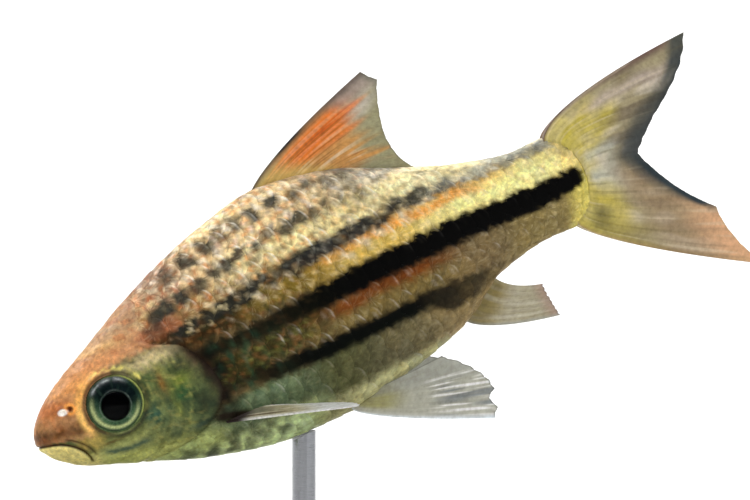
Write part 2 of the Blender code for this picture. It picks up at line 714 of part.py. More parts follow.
def main():
    clear_scene()
    fish = bpy.data.objects.new("fish_frame", None)
    bpy.context.scene.collection.objects.link(fish)
    held = Vector((HELD_AT * math.cos(PITCH), 0.0, HELD_AT * math.sin(PITCH)))
    fish.location = (Vector((0.0, 0.0, HELD_HEIGHT)) - held) * MM
    fish.rotation_euler = (0.0, -PITCH, 0.0)
    bpy.context.view_layer.update()
    nodes = {
        "skin_head": [head()],
        "skin_body": [torso(), tail()],
        "eye": [eyeball("eye_right", 1), eyeball("eye_left", -1)],
        "fin_dorsal": [dorsal_fin()],
        "fin_tail": [caudal_fin()],
        "fin_clear": [
            anal_fin(),
            pectoral_fin("pectoral_fin_right", 1),
            pectoral_fin("pectoral_fin_left", -1),
            pelvic_fin("pelvic_fin_right", 1),
            pelvic_fin("pelvic_fin_left", -1),
        ],
    }
    for slot, objects in nodes.items():
        for obj in objects:
            keep_largest(obj)
            obj.data.materials.clear()
            obj.data.materials.append(material(slot))
            obj.parent = fish
    for obj, slot in ((stand_base(), "stand_base"), (stand_rod(fish), "stand_rod")):
        obj.data.shade_smooth()
        obj.data.set_sharp_from_angle(angle=math.radians(35))
        obj.data.materials.append(material(slot))


main()
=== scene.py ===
import math

import bpy
import numpy as np
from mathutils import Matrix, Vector


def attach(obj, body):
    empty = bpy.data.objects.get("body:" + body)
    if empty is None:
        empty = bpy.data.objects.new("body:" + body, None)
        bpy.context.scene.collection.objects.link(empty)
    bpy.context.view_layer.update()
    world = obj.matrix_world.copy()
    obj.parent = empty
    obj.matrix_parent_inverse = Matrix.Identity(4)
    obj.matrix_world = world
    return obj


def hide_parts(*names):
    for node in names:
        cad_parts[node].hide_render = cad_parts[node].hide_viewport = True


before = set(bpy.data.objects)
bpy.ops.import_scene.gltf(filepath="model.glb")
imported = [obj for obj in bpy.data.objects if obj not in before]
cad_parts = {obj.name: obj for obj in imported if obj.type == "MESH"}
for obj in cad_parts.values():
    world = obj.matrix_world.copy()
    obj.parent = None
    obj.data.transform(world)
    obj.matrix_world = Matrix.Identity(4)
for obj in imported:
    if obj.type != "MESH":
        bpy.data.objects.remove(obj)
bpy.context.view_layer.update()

# Sizes are in millimetres, in the fish's own frame: x from the snout to the tail, y to its right, z to its back.
# to_row() pitches that frame nose down over the stand, in metres.
MM = 0.001
PITCH = math.radians(24.0)
HELD_AT, HELD_HEIGHT = 38.0, 43.0
RANDOM = np.random.default_rng(11)

# The same body as in the part's source: x, back, belly, half width, height of the widest place
TAIL_ROOT_X, BODY_END = 76.0, 80.6
ROUND_FROM = TAIL_ROOT_X - 1.0  # where the body starts to round off into the tail fin
STATIONS = np.array(
    [
        (0.0, -1.8, -1.8, 0.0, -1.8),
        (1.0, 0.5, -4.2, 2.1, -1.8),
        (4.0, 3.0, -6.7, 3.6, -1.6),
        (10.0, 6.2, -9.2, 5.0, -1.4),
        (20.0, 11.0, -13.0, 6.4, -1.2),
        (30.0, 14.3, -15.1, 7.0, -0.8),
        (38.0, 15.8, -15.3, 6.9, -0.4),
        (47.5, 14.3, -13.8, 6.0, 0.0),
        (56.5, 10.7, -11.5, 4.6, 0.2),
        (64.0, 8.0, -7.3, 3.4, 0.3),
        (72.0, 6.4, -6.0, 2.4, 0.2),
        (TAIL_ROOT_X, 6.5, -6.2, 1.8, 0.1),
        (BODY_END, 6.5, -6.2, 0.9, 0.1),
    ]
)
BACK_POWER, BELLY_POWER = 1.04, 0.94
GILL_CENTRE, GILL_REACH, GILL_RISE, GILL_DROP = (13.0, -4.0), 9.8, 9.3, 5.7
NAPE_X, THROAT_X = 16.4, 12.0  # where the scales begin on the nape and the throat
COVER_TOP, COVER_BOTTOM = (2.5, 5.0), (-9.0, -10.5)  # heights over which its rim turns into the nape and the throat
COVER_LIFT, COVER_SLOPE = 0.29, 7.0  # how far the cover's rim stands out, and the length of the slope up to it
EYE_AT, EYE_RADIUS, EYE_DEPTH, EYE_SINK = (10.3, 4.75, -0.9), 3.55, 2.0, 0.75
EYE_FORWARD, EYE_UP = math.radians(10.5), math.radians(5.0)
MOUTH_CENTRE_Z, MOUTH_LENGTH, MOUTH_HEIGHT, MOUTH_END = -7.0, 5.3, 4.5, math.radians(84.0)
NOSTRILS = ((4.2, 0.6, 0.5), (5.2, 0.65, 0.4))
NOSTRIL_FLAP = (4.62, 0.62)

# The coat of scales
INSET = 0.1  # how far the skin lies under the scales' outer face
SCALE_LENGTH, SCALE_THICK = 4.5, 0.04
UV_PATCH = 0.003  # how wide a patch of the baked picture each scale takes

# The fins: how far they reach into the body, their web, how far out they bow, and their rays' joints and forks
SINK, WEB, BOW_SKEW = 1.0, 0.07, 0.6
JOINTS, FORKS = 9.0, (0.17, 0.075)

SIDES = ((1, "right"), (-1, "left"))


def clamp(x):
    return np.clip(x, 0.0, 1.0)


def smooth(x, start, end):
    """0 before start, 1 past end, and a smooth rise between them. end may lie on either side of start."""
    t = clamp((x - start) / (end - start))
    return t * t * (3 - 2 * t)


def fade(x, start, end):
    """1 before start, 0 after end."""
    return 1 - smooth(x, start, end)


def bump(x, centre, width):
    return np.exp(-(((x - centre) / width) ** 2))


def window(x, start, end, soft):
    """1 between start and end, fading over soft on each side of both."""
    return smooth(x, start - soft, start + soft) * fade(x, end - soft, end + soft)


def linear(*rgb):
    """An sRGB colour of 0 to 255 as linear numbers."""
    c = np.array(rgb, float) / 255
    return np.where(c <= 0.04045, c / 12.92, ((c + 0.055) / 1.055) ** 2.4)


def smooth_curve(xs, values):
    """A curve through the points with no overshoot between them."""
    steps = np.diff(xs)
    slopes = np.diff(values) / steps
    tangents = np.zeros(len(xs))
    tangents[0], tangents[-1] = slopes[0], slopes[-1]
    for i in range(1, len(xs) - 1):
        before, after = slopes[i - 1], slopes[i]
        if before * after > 0:
            weight = (steps[i] + 2 * steps[i - 1]) / (3 * (steps[i] + steps[i - 1]))
            tangents[i] = before * after / (weight * after + (1 - weight) * before)

    def at(x):
        i = np.clip(np.searchsorted(xs, x) - 1, 0, len(steps) - 1)
        t = (x - xs[i]) / steps[i]
        rise = (3 - 2 * t) * t * t
        bent = steps[i] * t * (1 - t) * ((1 - t) * tangents[i] - t * tangents[i + 1])
        return values[i] * (1 - rise) + values[i + 1] * rise + bent

    return at


PROFILE = [smooth_curve(np.sqrt(STATIONS[:, 0]), STATIONS[:, k]) for k in range(1, 5)]


def section(x):
    """Back, belly, half width and widest height of the body at x."""
    x = np.asarray(x, float)
    root = np.sqrt(np.clip(x, 0.0, BODY_END))
    back, belly, half, widest = (curve(root) for curve in PROFILE)
    past = clamp((x - ROUND_FROM) / (BODY_END - ROUND_FROM))
    shrink = np.sqrt(1.0 - past * past)
    return widest + (back - widest) * shrink, widest + (belly - widest) * shrink, half * shrink, widest


def half_section(x, angle):
    """y and z on the right side of the body, at an angle from -90 degrees at the belly to 90 at the back."""
    back, belly, half, widest = section(x)
    c, s = clamp(np.cos(angle)), np.sin(angle)
    power = np.where(s >= 0, BACK_POWER, BELLY_POWER)
    reach = np.where(s >= 0, back - widest, widest - belly)
    return half * c**power, widest + reach * np.sign(s) * np.abs(s) ** power


def surface_y(x, z):
    back, belly, half, widest = section(x)
    top = z > widest
    reach = np.maximum(np.where(top, back - widest, widest - belly), 1e-6)
    power = np.where(top, BACK_POWER, BELLY_POWER)
    angle = np.arcsin(clamp(np.abs(z - widest) / reach) ** (1 / power))
    return half * np.cos(angle) ** power


# Tables that turn a share of the way round the half section, 0 at the belly and 1 at the back, into an angle
TABLE_ROOTS = np.linspace(0.02, math.sqrt(BODY_END) - 1e-4, 420)  # square roots of x, close together at the snout
TABLE_SHARES = np.linspace(0.0, 1.0, 241)


def build_tables():
    angles = np.linspace(-math.pi / 2, math.pi / 2, 721)
    rows, lengths, laterals = [], [], []
    for root in TABLE_ROOTS:
        y, z = half_section(root * root, angles)
        run = np.concatenate([[0.0], np.cumsum(np.hypot(np.diff(y), np.diff(z)))])
        rows.append(np.interp(TABLE_SHARES, run / run[-1], angles))
        lengths.append(run[-1])
        laterals.append(np.interp(lateral_z(root * root), z, run))
    return np.array(rows), np.array(lengths), np.array(laterals)


def lateral_z(x):
    """The height of the lateral line, the middle of the main stripe."""
    return np.interp(x, (0, 23, 38, 47, 60, 72, 81), (-1.6, 0.0, 0.5, 0.7, 0.5, 0.0, -0.15))


ANGLES, LENGTHS, LATERALS = build_tables()


def half_girth(x):
    return np.interp(np.sqrt(np.maximum(x, 0)), TABLE_ROOTS, LENGTHS)


def lateral_run(x):
    """The way from the belly's midline up to the lateral line, along the skin."""
    return np.interp(np.sqrt(np.maximum(x, 0)), TABLE_ROOTS, LATERALS)


def on_body(x, run, side):
    """Points on the body, run millimetres up from the belly's midline. Past a midline they cross to the other side."""
    x, run, side = np.broadcast_arrays(np.asarray(x, float), np.asarray(run, float), side)
    girth = half_girth(x)
    over, under = run > girth, run < 0
    flip = np.where(over | under, -1.0, 1.0) * side
    share = clamp(np.where(over, 2 * girth - run, np.abs(run)) / girth)
    row = (np.sqrt(np.clip(x, 0, BODY_END)) - TABLE_ROOTS[0]) / (TABLE_ROOTS[1] - TABLE_ROOTS[0])
    row = np.clip(row, 0, len(TABLE_ROOTS) - 1.001)
    column = np.clip(share * (len(TABLE_SHARES) - 1), 0, len(TABLE_SHARES) - 1.001)
    i, j = row.astype(int), column.astype(int)
    a, b = row - i, column - j
    angle = (ANGLES[i, j] * (1 - a) + ANGLES[i + 1, j] * a) * (1 - b)
    angle += (ANGLES[i, j + 1] * (1 - a) + ANGLES[i + 1, j + 1] * a) * b
    y, z = half_section(x, angle)
    return np.stack([x, y * flip, z], axis=-1)


def body_normals(x, run, side):
    """Outward normals at the same places."""
    step = 0.06
    along = on_body(np.minimum(x + step, BODY_END - 0.01), run, side) - on_body(np.maximum(x - step, 0.001), run, side)
    up = on_body(x, run + step, side) - on_body(x, run - step, side)
    normal = np.cross(up, along) * np.asarray(side, float)[..., None]
    return normal / np.maximum(np.linalg.norm(normal, axis=-1, keepdims=True), 1e-9)


# The lattice of scales: q counts columns from the gill cover to the tail, r counts rows up from the lateral line
PITCH_X, PITCHES = (12, 22, 40, 60, 80), (2.1, 2.25, 2.4, 2.35, 2.0)
ROW_X, ROW_HEIGHTS = (12, 20, 30, 38, 47, 56, 64, 72, 80), (2.5, 2.75, 3.0, 3.1, 2.95, 2.6, 2.35, 2.15, 1.9)
LATTICE_X = np.linspace(8.0, 82.0, 600)
LATTICE_Q = np.concatenate([[0.0], np.cumsum(np.diff(LATTICE_X) / np.interp(LATTICE_X[1:], PITCH_X, PITCHES))])
COLUMNS = int(LATTICE_Q[-1])


def column_at(x):
    return np.interp(x, LATTICE_X, LATTICE_Q)


def row_height(x):
    return np.interp(x, ROW_X, ROW_HEIGHTS)


def from_lattice(q, r):
    x = np.interp(q, LATTICE_Q, LATTICE_X)
    return x, lateral_run(x) + r * row_height(x)


def gill_x(z):
    """Where the head ends at this height: the gill cover's rim, the nape above it and the throat below it."""
    rise = np.where(z > GILL_CENTRE[1], GILL_RISE, GILL_DROP)
    share = np.clip((z - GILL_CENTRE[1]) / rise, -1, 1)
    rim = GILL_CENTRE[0] + GILL_REACH * np.sqrt(1 - share * share)
    nape = NAPE_X + 0.1 * np.clip(z - 5.0, 0, 6)
    rim = rim + (nape - rim) * smooth(z, *COVER_TOP)
    return rim + (THROAT_X - rim) * smooth(z, *COVER_BOTTOM)


WAVES, WAVES_AS_ONE = 14, 4.2  # how many waves a noise adds up, and the sum that counts as 1


def wave_noise(place, size, seed):
    """Smooth mottling of about this size in millimetres, mostly from -1 to 1: a sum of waves in seeded directions."""
    source = np.random.default_rng(seed)
    total = 0.0
    for _ in range(WAVES):
        direction = source.normal(size=3)
        direction *= 2 * math.pi / size * source.uniform(0.6, 1.5) / np.linalg.norm(direction)
        total = total + np.sin(place @ direction + source.uniform(0, 2 * math.pi))
    return total / WAVES_AS_ONE


# Markings
STRIPE_X = (21, 25, 30, 38, 45, 50, 60, 65, 72, 77, 79)
STRIPE_TOP = (1.0, 1.1, 1.4, 1.95, 2.3, 2.4, 2.25, 1.95, 1.65, 1.4, 1.0)
STRIPE_BOTTOM = (-1.3, -1.1, -1.1, -0.9, -0.95, -1.05, -1.25, -1.45, -1.7, -1.5, -1.0)
UPPER_X = (19.5, 25, 30.7, 35.4, 41.8, 45, 50, 53, 58, 62, 66, 75)
UPPER_Z = (3.5, 4.1, 4.9, 5.3, 5.8, 6.2, 6.35, 6.7, 6.75, 6.4, 6.0, 5.7)
LOWER_X = (23, 30, 35, 45, 52, 54, 58, 62)
LOWER_TOP = (-4.1, -4.2, -4.5, -4.7, -4.8, -4.9, -5.3, -5.6)
LOWER_BOTTOM = (-5.6, -6.5, -6.8, -6.95, -7.0, -8.4, -8.6, -7.6)
STRIPE_FRONT, STRIPE_REAR = linear(8, 13, 6), linear(2, 2, 2)
UPPER_FRONT, UPPER_MIDDLE, UPPER_REAR = linear(40, 42, 36), linear(34, 38, 40), linear(142, 148, 140)
LOWER_FRONT, LOWER_REAR = linear(1, 4, 1), linear(24, 21, 15)
SPOT, TEAL = linear(46, 50, 46), linear(46, 80, 58)
# Rows of spots: first x, last x, spacing, the row's line as xs and heights, and how dark it is along them
SPOT_ROWS = (
    (19.0, 51.0, 2.15, (18, 24, 29.4, 33, 38, 44, 50), (6.5, 7.6, 9.0, 9.7, 10.2, 10.4, 10.1),
     (1.2, 1.2, 1.3, 1.3, 1.2, 1.0, 0.6)),
    (22.9, 49.0, 2.6, (22, 25.5, 31, 38, 44, 50), (10.4, 11.2, 12.4, 13.5, 13.5, 13.0),
     (0.7, 1.1, 1.15, 1.1, 1.0, 0.6)),
    (18.3, 19.0, 3.0, (17, 20), (5.5, 5.5), (0.9, 0.9)),
    (58.0, 75.0, 2.3, (57, 66, 76), (8.4, 6.8, 5.8), (0.25, 0.5, 0.4)),
    (16.5, 31.0, 2.5, (15, 20, 31), (-10.6, -12.4, -12.9), (0.7, 0.95, 0.8)),
    (22.0, 33.0, 2.6, (21, 33), (-10.8, -11.2), (0.6, 0.5)),
)
# Soft areas of colour on the flank: x from and to, fade, height over the lateral line from and to, fade, colour
FLANK_AREAS = (
    (0, 34, 8, 7.0, 20, 1.5, (154, 124, 100)),  # rosy front of the back
    (26, 62, 6, 8.0, 20, 1.5, (244, 216, 162)),  # tan under the dorsal fin
    (46, 62, 5, 9.5, 20, 1.5, (174, 172, 158)),
    (56, 80, 5, 5.6, 20, 0.6, (222, 218, 200)),  # pale rim of the tail stalk
    (14, 31, 4, 4.6, 7.4, 0.8, (156, 124, 76)),  # tan above the upper stripe's start
    (30, 56, 5, 6.2, 9.6, 0.8, (246, 230, 168)),  # cream above the upper stripe
    (51, 66, 4, 6.2, 9.6, 0.8, (255, 244, 190)),
    (8, 22, 2, 3.2, 6.2, 1.0, (158, 98, 64)),  # rust behind the head
    (14, 31, 4, 1.4, 4.2, 0.6, (64, 44, 21)),  # brown start of the gold band
    (30, 42, 4, 1.4, 4.9, 0.6, (138, 116, 50)),
    (43, 84, 4, 1.0, 5.0, 0.6, (218, 186, 94)),  # gold band
    (56, 81, 6, 1.2, 4.8, 0.6, (255, 246, 166)),
    (41, 66, 6, 3.6, 5.0, 0.6, (240, 170, 84)),  # orange under the upper stripe
    (14, 40, 4, -4.6, -1.2, 0.6, (62, 56, 26)),  # olive under the main stripe
    (36, 66, 5, -5.6, -2.4, 0.6, (116, 100, 58)),
    (57, 84, 5, -6.8, -1.2, 0.6, (118, 102, 72)),
    (66, 84, 4, -6.8, -1.2, 0.6, (138, 122, 76)),
    (38, 57, 4, -3.2, -1.2, 0.8, (112, 62, 24)),  # rust under the main stripe
    (14, 60, 6, -20, -6.6, 0.8, (84, 86, 54)),  # belly
    (42, 60, 5, -13, -6.8, 0.8, (100, 94, 68)),
    (21, 34, 4, -11, -6.6, 0.8, (106, 124, 92)),
    (6, 21, 2.5, -20, -7.8, 0.8, (178, 192, 120)),  # throat behind the head
    (52, 64, 4, -13, -7.0, 1.0, (148, 128, 86)),
    (10, 33, 4, -20, -11.2, 1.0, (208, 228, 162)),  # breast
    (36, 58, 5, -20, -12.6, 0.9, (200, 198, 144)),  # rim of the belly
    (76, 90, 2, 1, 9, 1.0, (240, 220, 142)),  # root of the tail fin
    (76, 90, 2, -9, 1, 1.0, (216, 204, 108)),
)


def mix(a, b, share):
    share = np.asarray(share, float)[..., None]
    return a * (1 - share) + b * share


def layered(colour, *layers):
    """Lays colours over one another. A layer is a colour, an sRGB tuple or linear, and its share at each point."""
    for tint, share in layers:
        colour = mix(colour, linear(*tint) if isinstance(tint, tuple) else tint, clamp(share))
    return colour


def spots(colour, x, z, uneven):
    for first, last, spacing, xs, zs, shades in SPOT_ROWS:
        for i, at in enumerate(np.arange(first, last, spacing)):
            at += 0.35 * math.sin(5.1 * i + first)
            height = np.interp(at, xs, zs) + 0.15 * math.sin(3.3 * i)
            off = np.hypot((x - at) / 1.2, (z - height) / 1.05) + 0.2 * uneven
            dark = fade(off, 0.45, 1.2) * np.interp(at, xs, shades) * (0.85 + 0.15 * math.sin(7.7 * i))
            colour = mix(colour, SPOT, clamp(dark) * 0.92)
    return colour


def flank_colour(x, z, place, q):
    """The body's colour behind the gill cover, with its stripes and spots."""
    uneven, drift, warp = wave_noise(place, 2.2, 3), wave_noise(place, 7.0, 4), wave_noise(place, 1.2, 12)
    level = z - lateral_z(x) + 0.3 * drift + 0.25 * warp
    colour = linear(130, 110, 72)
    for x0, x1, soft_x, z0, z1, soft_z, tint in FLANK_AREAS:
        share = window(x + 0.8 * drift, x0, x1, soft_x) * window(level, z0, z1, soft_z)
        colour = mix(colour, linear(*tint), share)
    body = fade(x, 56, 70)
    rose = smooth(wave_noise(place, 1.5, 14), 0.0, 0.9) * (1 - 0.7 * smooth(x, 34, 54)) * smooth(z, 3, 6) * body
    # pale mottling: partly the flank's own cream specks, and partly painted glints, which turn bluish white on the back
    pale = smooth(wave_noise(place, 1.5, 15), 0.2, 1.0) * smooth(z + 0.35 * np.clip(x - 34, -10, 0), 1.5, 3.0)
    # painted highlights: slanted pale dashes high on the flank, from behind the head back towards the tail stalk
    slanted = np.stack([(0.84 * x + 0.55 * z) / 0.62, place[:, 1] * 0.3, (0.55 * x - 0.84 * z) / 1.7], axis=1)
    painted_glint_dashes = smooth(wave_noise(slanted, 1.9, 17), 0.35, 1.1) * smooth(z, 2.0, 4.0) * smooth(x, 19, 27)
    moss = smooth(wave_noise(place, 1.25, 18), 0.25, 1.0) * smooth(z, 5.0, 7.0) * body
    colour = layered(
        colour,
        (mix(linear(180, 100, 60), linear(230, 146, 68), smooth(x, 22, 34)), rose * 0.6),
        (mix(linear(248, 226, 170), linear(240, 238, 232), smooth(z, 8, 11)), pale * 0.45),
        ((255, 240, 206), painted_glint_dashes * fade(x, 52, 66) * 0.6),
        ((96, 94, 72), moss * 0.55),
    )
    colour = colour * (1 + 0.11 * uneven + 0.06 * drift + 0.08 * warp)[:, None]
    front = fade(x, 32, 42) * smooth(z, -6.5, -5.0) * fade(z, 3.6, 5.0)
    green, brown = wave_noise(place, 1.3, 23), wave_noise(place, 1.1, 24)
    colour = layered(
        colour,
        ((30, 46, 26), smooth(green, 0.0, 0.9) * front * 0.65),
        ((142, 96, 54), smooth(brown, 0.2, 1.0) * front * 0.5),
        ((120, 118, 56), smooth(-brown, 0.3, 1.0) * front * fade(z, -1, 1) * 0.55),
    )
    z = z + 0.2 * warp
    colour = spots(colour, x, z, uneven)
    half = np.interp(x, (20, 30, 36, 50, 57, 64, 76), (0.85, 1.1, 1.25, 1.15, 1.0, 0.85, 0.7))
    off = np.abs(z - np.interp(x, UPPER_X, UPPER_Z)) / half + 0.22 * uneven
    gaps = smooth(uneven, 0.2, 1.0) * np.interp(x, (20, 34, 50, 60), (0.5, 0.25, 0.3, 0.6))
    upper = fade(off, 0.5, 1.3) * (1 - gaps) * np.interp(x, (19, 21, 56, 64, 76, 79), (0.0, 0.97, 0.95, 0.7, 0.6, 0))
    dark = mix(mix(UPPER_FRONT, UPPER_MIDDLE, smooth(x, 26, 36)), UPPER_REAR, smooth(x, 56, 66))
    # painted glints: pale specks in the upper stripe, strongest near its front
    painted_stripe_glints = smooth(wave_noise(place, 0.9, 19), 0.2, 1.0) * smooth(x, 18, 22) * np.interp(x, (24, 34), (0.7, 0.42))
    dark = mix(dark, mix(linear(186, 170, 124), linear(138, 138, 126), smooth(x, 26, 34)), painted_stripe_glints)
    jag = 0.07 * np.cos(2 * math.pi * q) + 0.14 * uneven

    def inside(xs, top, bottom):
        return np.minimum(np.interp(x, xs, top) - z, z - np.interp(x, xs, bottom)) + jag

    edge = np.interp(x, (20, 40, 60), (0.9, 0.5, 0.45))
    main = smooth(inside(STRIPE_X, STRIPE_TOP, STRIPE_BOTTOM), -edge, edge) * fade(x + 0.2 * z**2, 78.5, 79.9)
    main = main * smooth(x, 17.5, 22) * np.interp(x, (22, 30, 38), (0.93, 0.95, 1.0))
    low = smooth(inside(LOWER_X, LOWER_TOP, LOWER_BOTTOM), -0.55, 0.5) * smooth(x, 21, 27) * fade(x + uneven, 60, 64)
    low = low * np.interp(x, (24, 34, 50, 56, 62), (0.85, 1.0, 1.0, 0.9, 0.7))
    shoulder = bump(x, 22.9, 2.0) * smooth(z, -9.0, -6.5) * fade(z, 0.8, 2.6)
    teal = smooth(wave_noise(place * (1.5, 1.0, 0.6), 1.9, 13) + 0.5 * uneven, -0.2, 1.3) * smooth(x, 21.5, 23.5)
    return layered(
        colour,
        (dark, upper),
        (mix(STRIPE_FRONT, STRIPE_REAR, smooth(x, 28, 46)), main * (1 - 0.08 * front * smooth(brown, 0, 1))),
        (mix(LOWER_FRONT, LOWER_REAR, smooth(x, 48, 57)), low),
        ((8, 12, 8), shoulder * (1.05 + 0.35 * uneven)),
        (TEAL, teal * fade(x, 27, 34) * smooth(z, -11, -8) * fade(z, 0.0, 1.5) * 0.5),
        ((70, 76, 48), bump(x, 78.6, 0.8) * bump(z, 4.2, 0.8) * 0.8),
    )


# Patches of colour on the head: x, z, reach along x, reach along z, colour, strength
HEAD_PATCHES = (
    (3.0, 1.2, 2.6, 1.3, (168, 94, 46), 0.85),  # rusty snout
    (3.4, -1.6, 2.6, 0.95, (92, 54, 12), 0.97),  # brown over the mouth
    (5.2, -2.3, 1.2, 0.6, (66, 44, 14), 0.9),
    (5.1, -4.0, 1.1, 0.9, (166, 140, 70), 0.9),  # olive gold over the jaw's corner
    (0.9, -1.4, 1.1, 1.2, (70, 44, 10), 0.92),  # tip of the snout
    (6.8, 3.2, 2.4, 1.3, (216, 148, 82), 0.8),  # brow
    (11.5, 4.3, 3.4, 0.9, (208, 144, 94), 0.75),  # over the eye
    (11.6, 5.9, 3.6, 0.45, (216, 176, 116), 0.7),
    (17.6, 4.6, 2.2, 1.2, (166, 102, 66), 0.8),  # rust before the upper stripe
    (14.0, 7.2, 4.0, 0.9, (176, 150, 118), 0.75),
    (9.6, -6.4, 4.2, 1.5, (186, 192, 116), 0.85),  # yellow-green cheek
    (6.6, -4.4, 1.1, 0.9, (182, 160, 84), 0.85),  # olive gold under the eye
    (8.6, -5.1, 1.5, 0.2, (92, 66, 34), 0.7),
    (16.6, 2.4, 3.8, 0.95, (222, 202, 156), 0.9),  # pale top of the gill cover
    (15.0, 0.0, 1.3, 1.1, (92, 112, 66), 0.6),
    (19.2, 0.4, 0.9, 1.1, (58, 62, 42), 0.8),
    (20.9, 0.8, 0.9, 1.8, (98, 78, 60), 0.85),
    (16.4, -0.8, 0.45, 1.3, (142, 92, 36), 0.85),  # orange-brown streak
    (18.4, -1.6, 1.4, 0.9, (122, 136, 48), 0.85),
    (18.4, -3.2, 1.1, 1.2, (28, 76, 42), 0.9),  # green gloss
    (17.1, -4.2, 0.4, 1.7, (112, 122, 52), 0.75),
    (20.2, -5.2, 1.2, 1.6, (26, 36, 24), 0.9),
    (14.5, -4.2, 1.6, 1.3, (42, 80, 66), 0.9),  # teal behind the eye
    (16.1, -6.6, 1.8, 0.6, (98, 108, 72), 0.75),
    (22.1, -1.8, 0.9, 3.2, (40, 27, 16), 0.94),  # brown rim
    (18.2, -7.6, 2.8, 0.5, (44, 62, 52), 0.9),  # slate under the gill cover
    (13.0, -9.0, 5.0, 0.8, (204, 210, 126), 0.8),  # throat
)
CHEEK, CROWN, CHIN = linear(82, 94, 56), linear(186, 140, 96), linear(228, 214, 136)


def eye_frame(side):
    """The eye's middle, and a matrix whose columns are two directions across the eye and the way it looks."""
    look = np.array(
        (
            -math.sin(EYE_FORWARD) * math.cos(EYE_UP),
            side * math.cos(EYE_FORWARD) * math.cos(EYE_UP),
            math.sin(EYE_UP),
        )
    )
    back = np.array((1.0, 0.0, 0.0)) - look * look[0]
    back /= np.linalg.norm(back)
    up = np.cross(back, look) * side
    return np.array((EYE_AT[0], side * EYE_AT[1], EYE_AT[2])), np.stack([back, up, look], axis=1)


def eye_place(place):
    """Radius, angle and height of points about the axis of the eye on their own side. Angle 0 is towards the tail."""
    radius, angle, height = np.full(len(place), 99.0), np.zeros(len(place)), np.zeros(len(place))
    for side, _ in SIDES:
        centre, turn = eye_frame(side)
        local = (place - centre) @ turn
        here = place[:, 1] * side > 0
        radius[here] = np.hypot(local[here, 0], local[here, 1])
        angle[here] = np.arctan2(local[here, 1], local[here, 0])
        height[here] = local[here, 2]
    return radius, angle, height


def mouth_place(place):
    """Distance over the mouth's line, and how far along it, 0 at the front and 1 at the corner."""
    a, b = place[:, 0] / MOUTH_LENGTH, (place[:, 2] - MOUTH_CENTRE_Z) / MOUTH_HEIGHT
    return (np.hypot(a, b) - 1) * (MOUTH_LENGTH + MOUTH_HEIGHT) / 2, np.arctan2(a, b) / MOUTH_END


def head_colour(place):
    x, y, z = place.T
    fine, mottle = wave_noise(place, 1.0, 5), wave_noise(place, 3.2, 6)
    border = np.interp(x, (0, 2.5, 5, 6.5, 8, 12, 15, 20), (-2.2, -2.4, -3.4, -3.6, 0.0, 3.3, 3.5, 3.1))
    above = smooth(z + 0.25 * mottle + 0.15 * fine, border - 0.5, border + 0.5)
    over, along = mouth_place(place)
    low = fade(z - np.interp(x, (5, 10, 15), (-5.6, -7.3, -8.6)), -0.5, 0.7) * fade(x, 13, 17)
    jaw = np.maximum(fade(over, -0.3, 0.1), fade(z, -6.4, -5.2)) * fade(x, 5.6, 7.4)
    colour = layered(mix(CHEEK, CROWN, above), ((176, 182, 100), low), (CHIN, jaw))
    for px, pz, rx, rz, tint, strength in HEAD_PATCHES:
        share = np.exp(-(((x - px) / rx + 0.2 * mottle) ** 2) - ((z - pz) / rz + 0.2 * fine) ** 2)
        colour = mix(colour, linear(*tint), share * (1 - jaw * (px < 6)) * strength)
    radius, angle, _ = eye_place(place)
    up, back = np.sin(angle), np.cos(angle)
    rear = smooth(np.cos(angle + 0.6), -0.3, 0.4)
    slate = np.interp(x, (6.5, 8, 10, 13), (-5.8, -6.4, -6.8, -6.7))
    nx, nz, size = NOSTRILS[1]
    off, painted_glint_off = np.hypot(x - nx, z - nz), np.hypot((x - NOSTRILS[0][0]) / 1.35, z - NOSTRILS[0][1])
    line = bump(over, 0.04, 0.16) * fade(along, 0.98, 1.06) * (x < 6.2)
    fold = bump(over, 0.75, 0.13) * smooth(along, 0.3, 0.45) * fade(along, 0.85, 0.98) * (x < 6.6)
    rays = wave_noise(np.stack([np.hypot(x - 9, z + 1) * 1.5, y * 0, np.arctan2(z + 1, x - 9) * 3.2], axis=1), 1.5, 16)
    below, cover = 1 - above, fade(x, 18.6, 20.6)
    cheek = smooth(x, 11.5, 14) * below
    colour = layered(
        colour,
        ((250, 200, 112), bump(radius, 4.38, 0.46) * smooth(-np.cos(angle + 0.25), 0.5, 0.88)),
        ((232, 160, 84), bump(radius, 4.4, 0.6) * smooth(up, 0.0, 0.6) * smooth(-back, -0.3, 0.4) * 0.6),
        ((34, 32, 20), bump(radius, 3.92, 0.24) * rear * 0.9),
        ((60, 44, 28), bump(radius, 3.76, 0.26) * (1 - rear) * 0.85),
        ((226, 214, 116), bump(radius, 4.35, 0.26) * smooth(up + 0.8 * back, 0.4, 1.0) * smooth(fine, -0.5, 0.5) * 0.9),
        ((62, 86, 76), bump(z + 0.1 * fine, slate, 0.42) * window(x, 7.0, 12.6, 0.8) * 0.9),
        ((244, 164, 76), bump(off, size * 1.35, 0.22) * 0.9),
        # painted shade: the middle of the rear nostril's pit darkened inside its orange rim
        ((96, 52, 30), fade(off, size * 0.5, size)),
        # a painted highlight: a white glint over the front nostril
        ((255, 252, 246), fade(painted_glint_off, 0.3, 0.5) * 0.97),
        ((54, 34, 14), line + fold * 0.85),
        ((150, 156, 84), cheek * cover * smooth(rays, 0.0, 1.0) * 0.35),
        ((24, 44, 30), cheek * smooth(-rays, 0.1, 1.0) * 0.4),
        ((22, 40, 26), smooth(wave_noise(place, 1.5, 8), 0.2, 0.9) * smooth(x, 12, 15) * below * 0.35),
        ((176, 166, 90), smooth(wave_noise(place, 1.0, 9), 0.3, 1.1) * smooth(x, 11, 14) * below * cover * 0.25),
        ((166, 88, 46), smooth(wave_noise(place, 1.4, 10), 0.1, 0.9) * above * (0.16 + 0.4 * smooth(x, 10, 16))),
        ((124, 76, 46), smooth(wave_noise(place, 0.9, 11), 0.3, 1.0) * above * 0.3),
    )
    return colour * (1 + 0.09 * fine + 0.05 * mottle)[:, None]


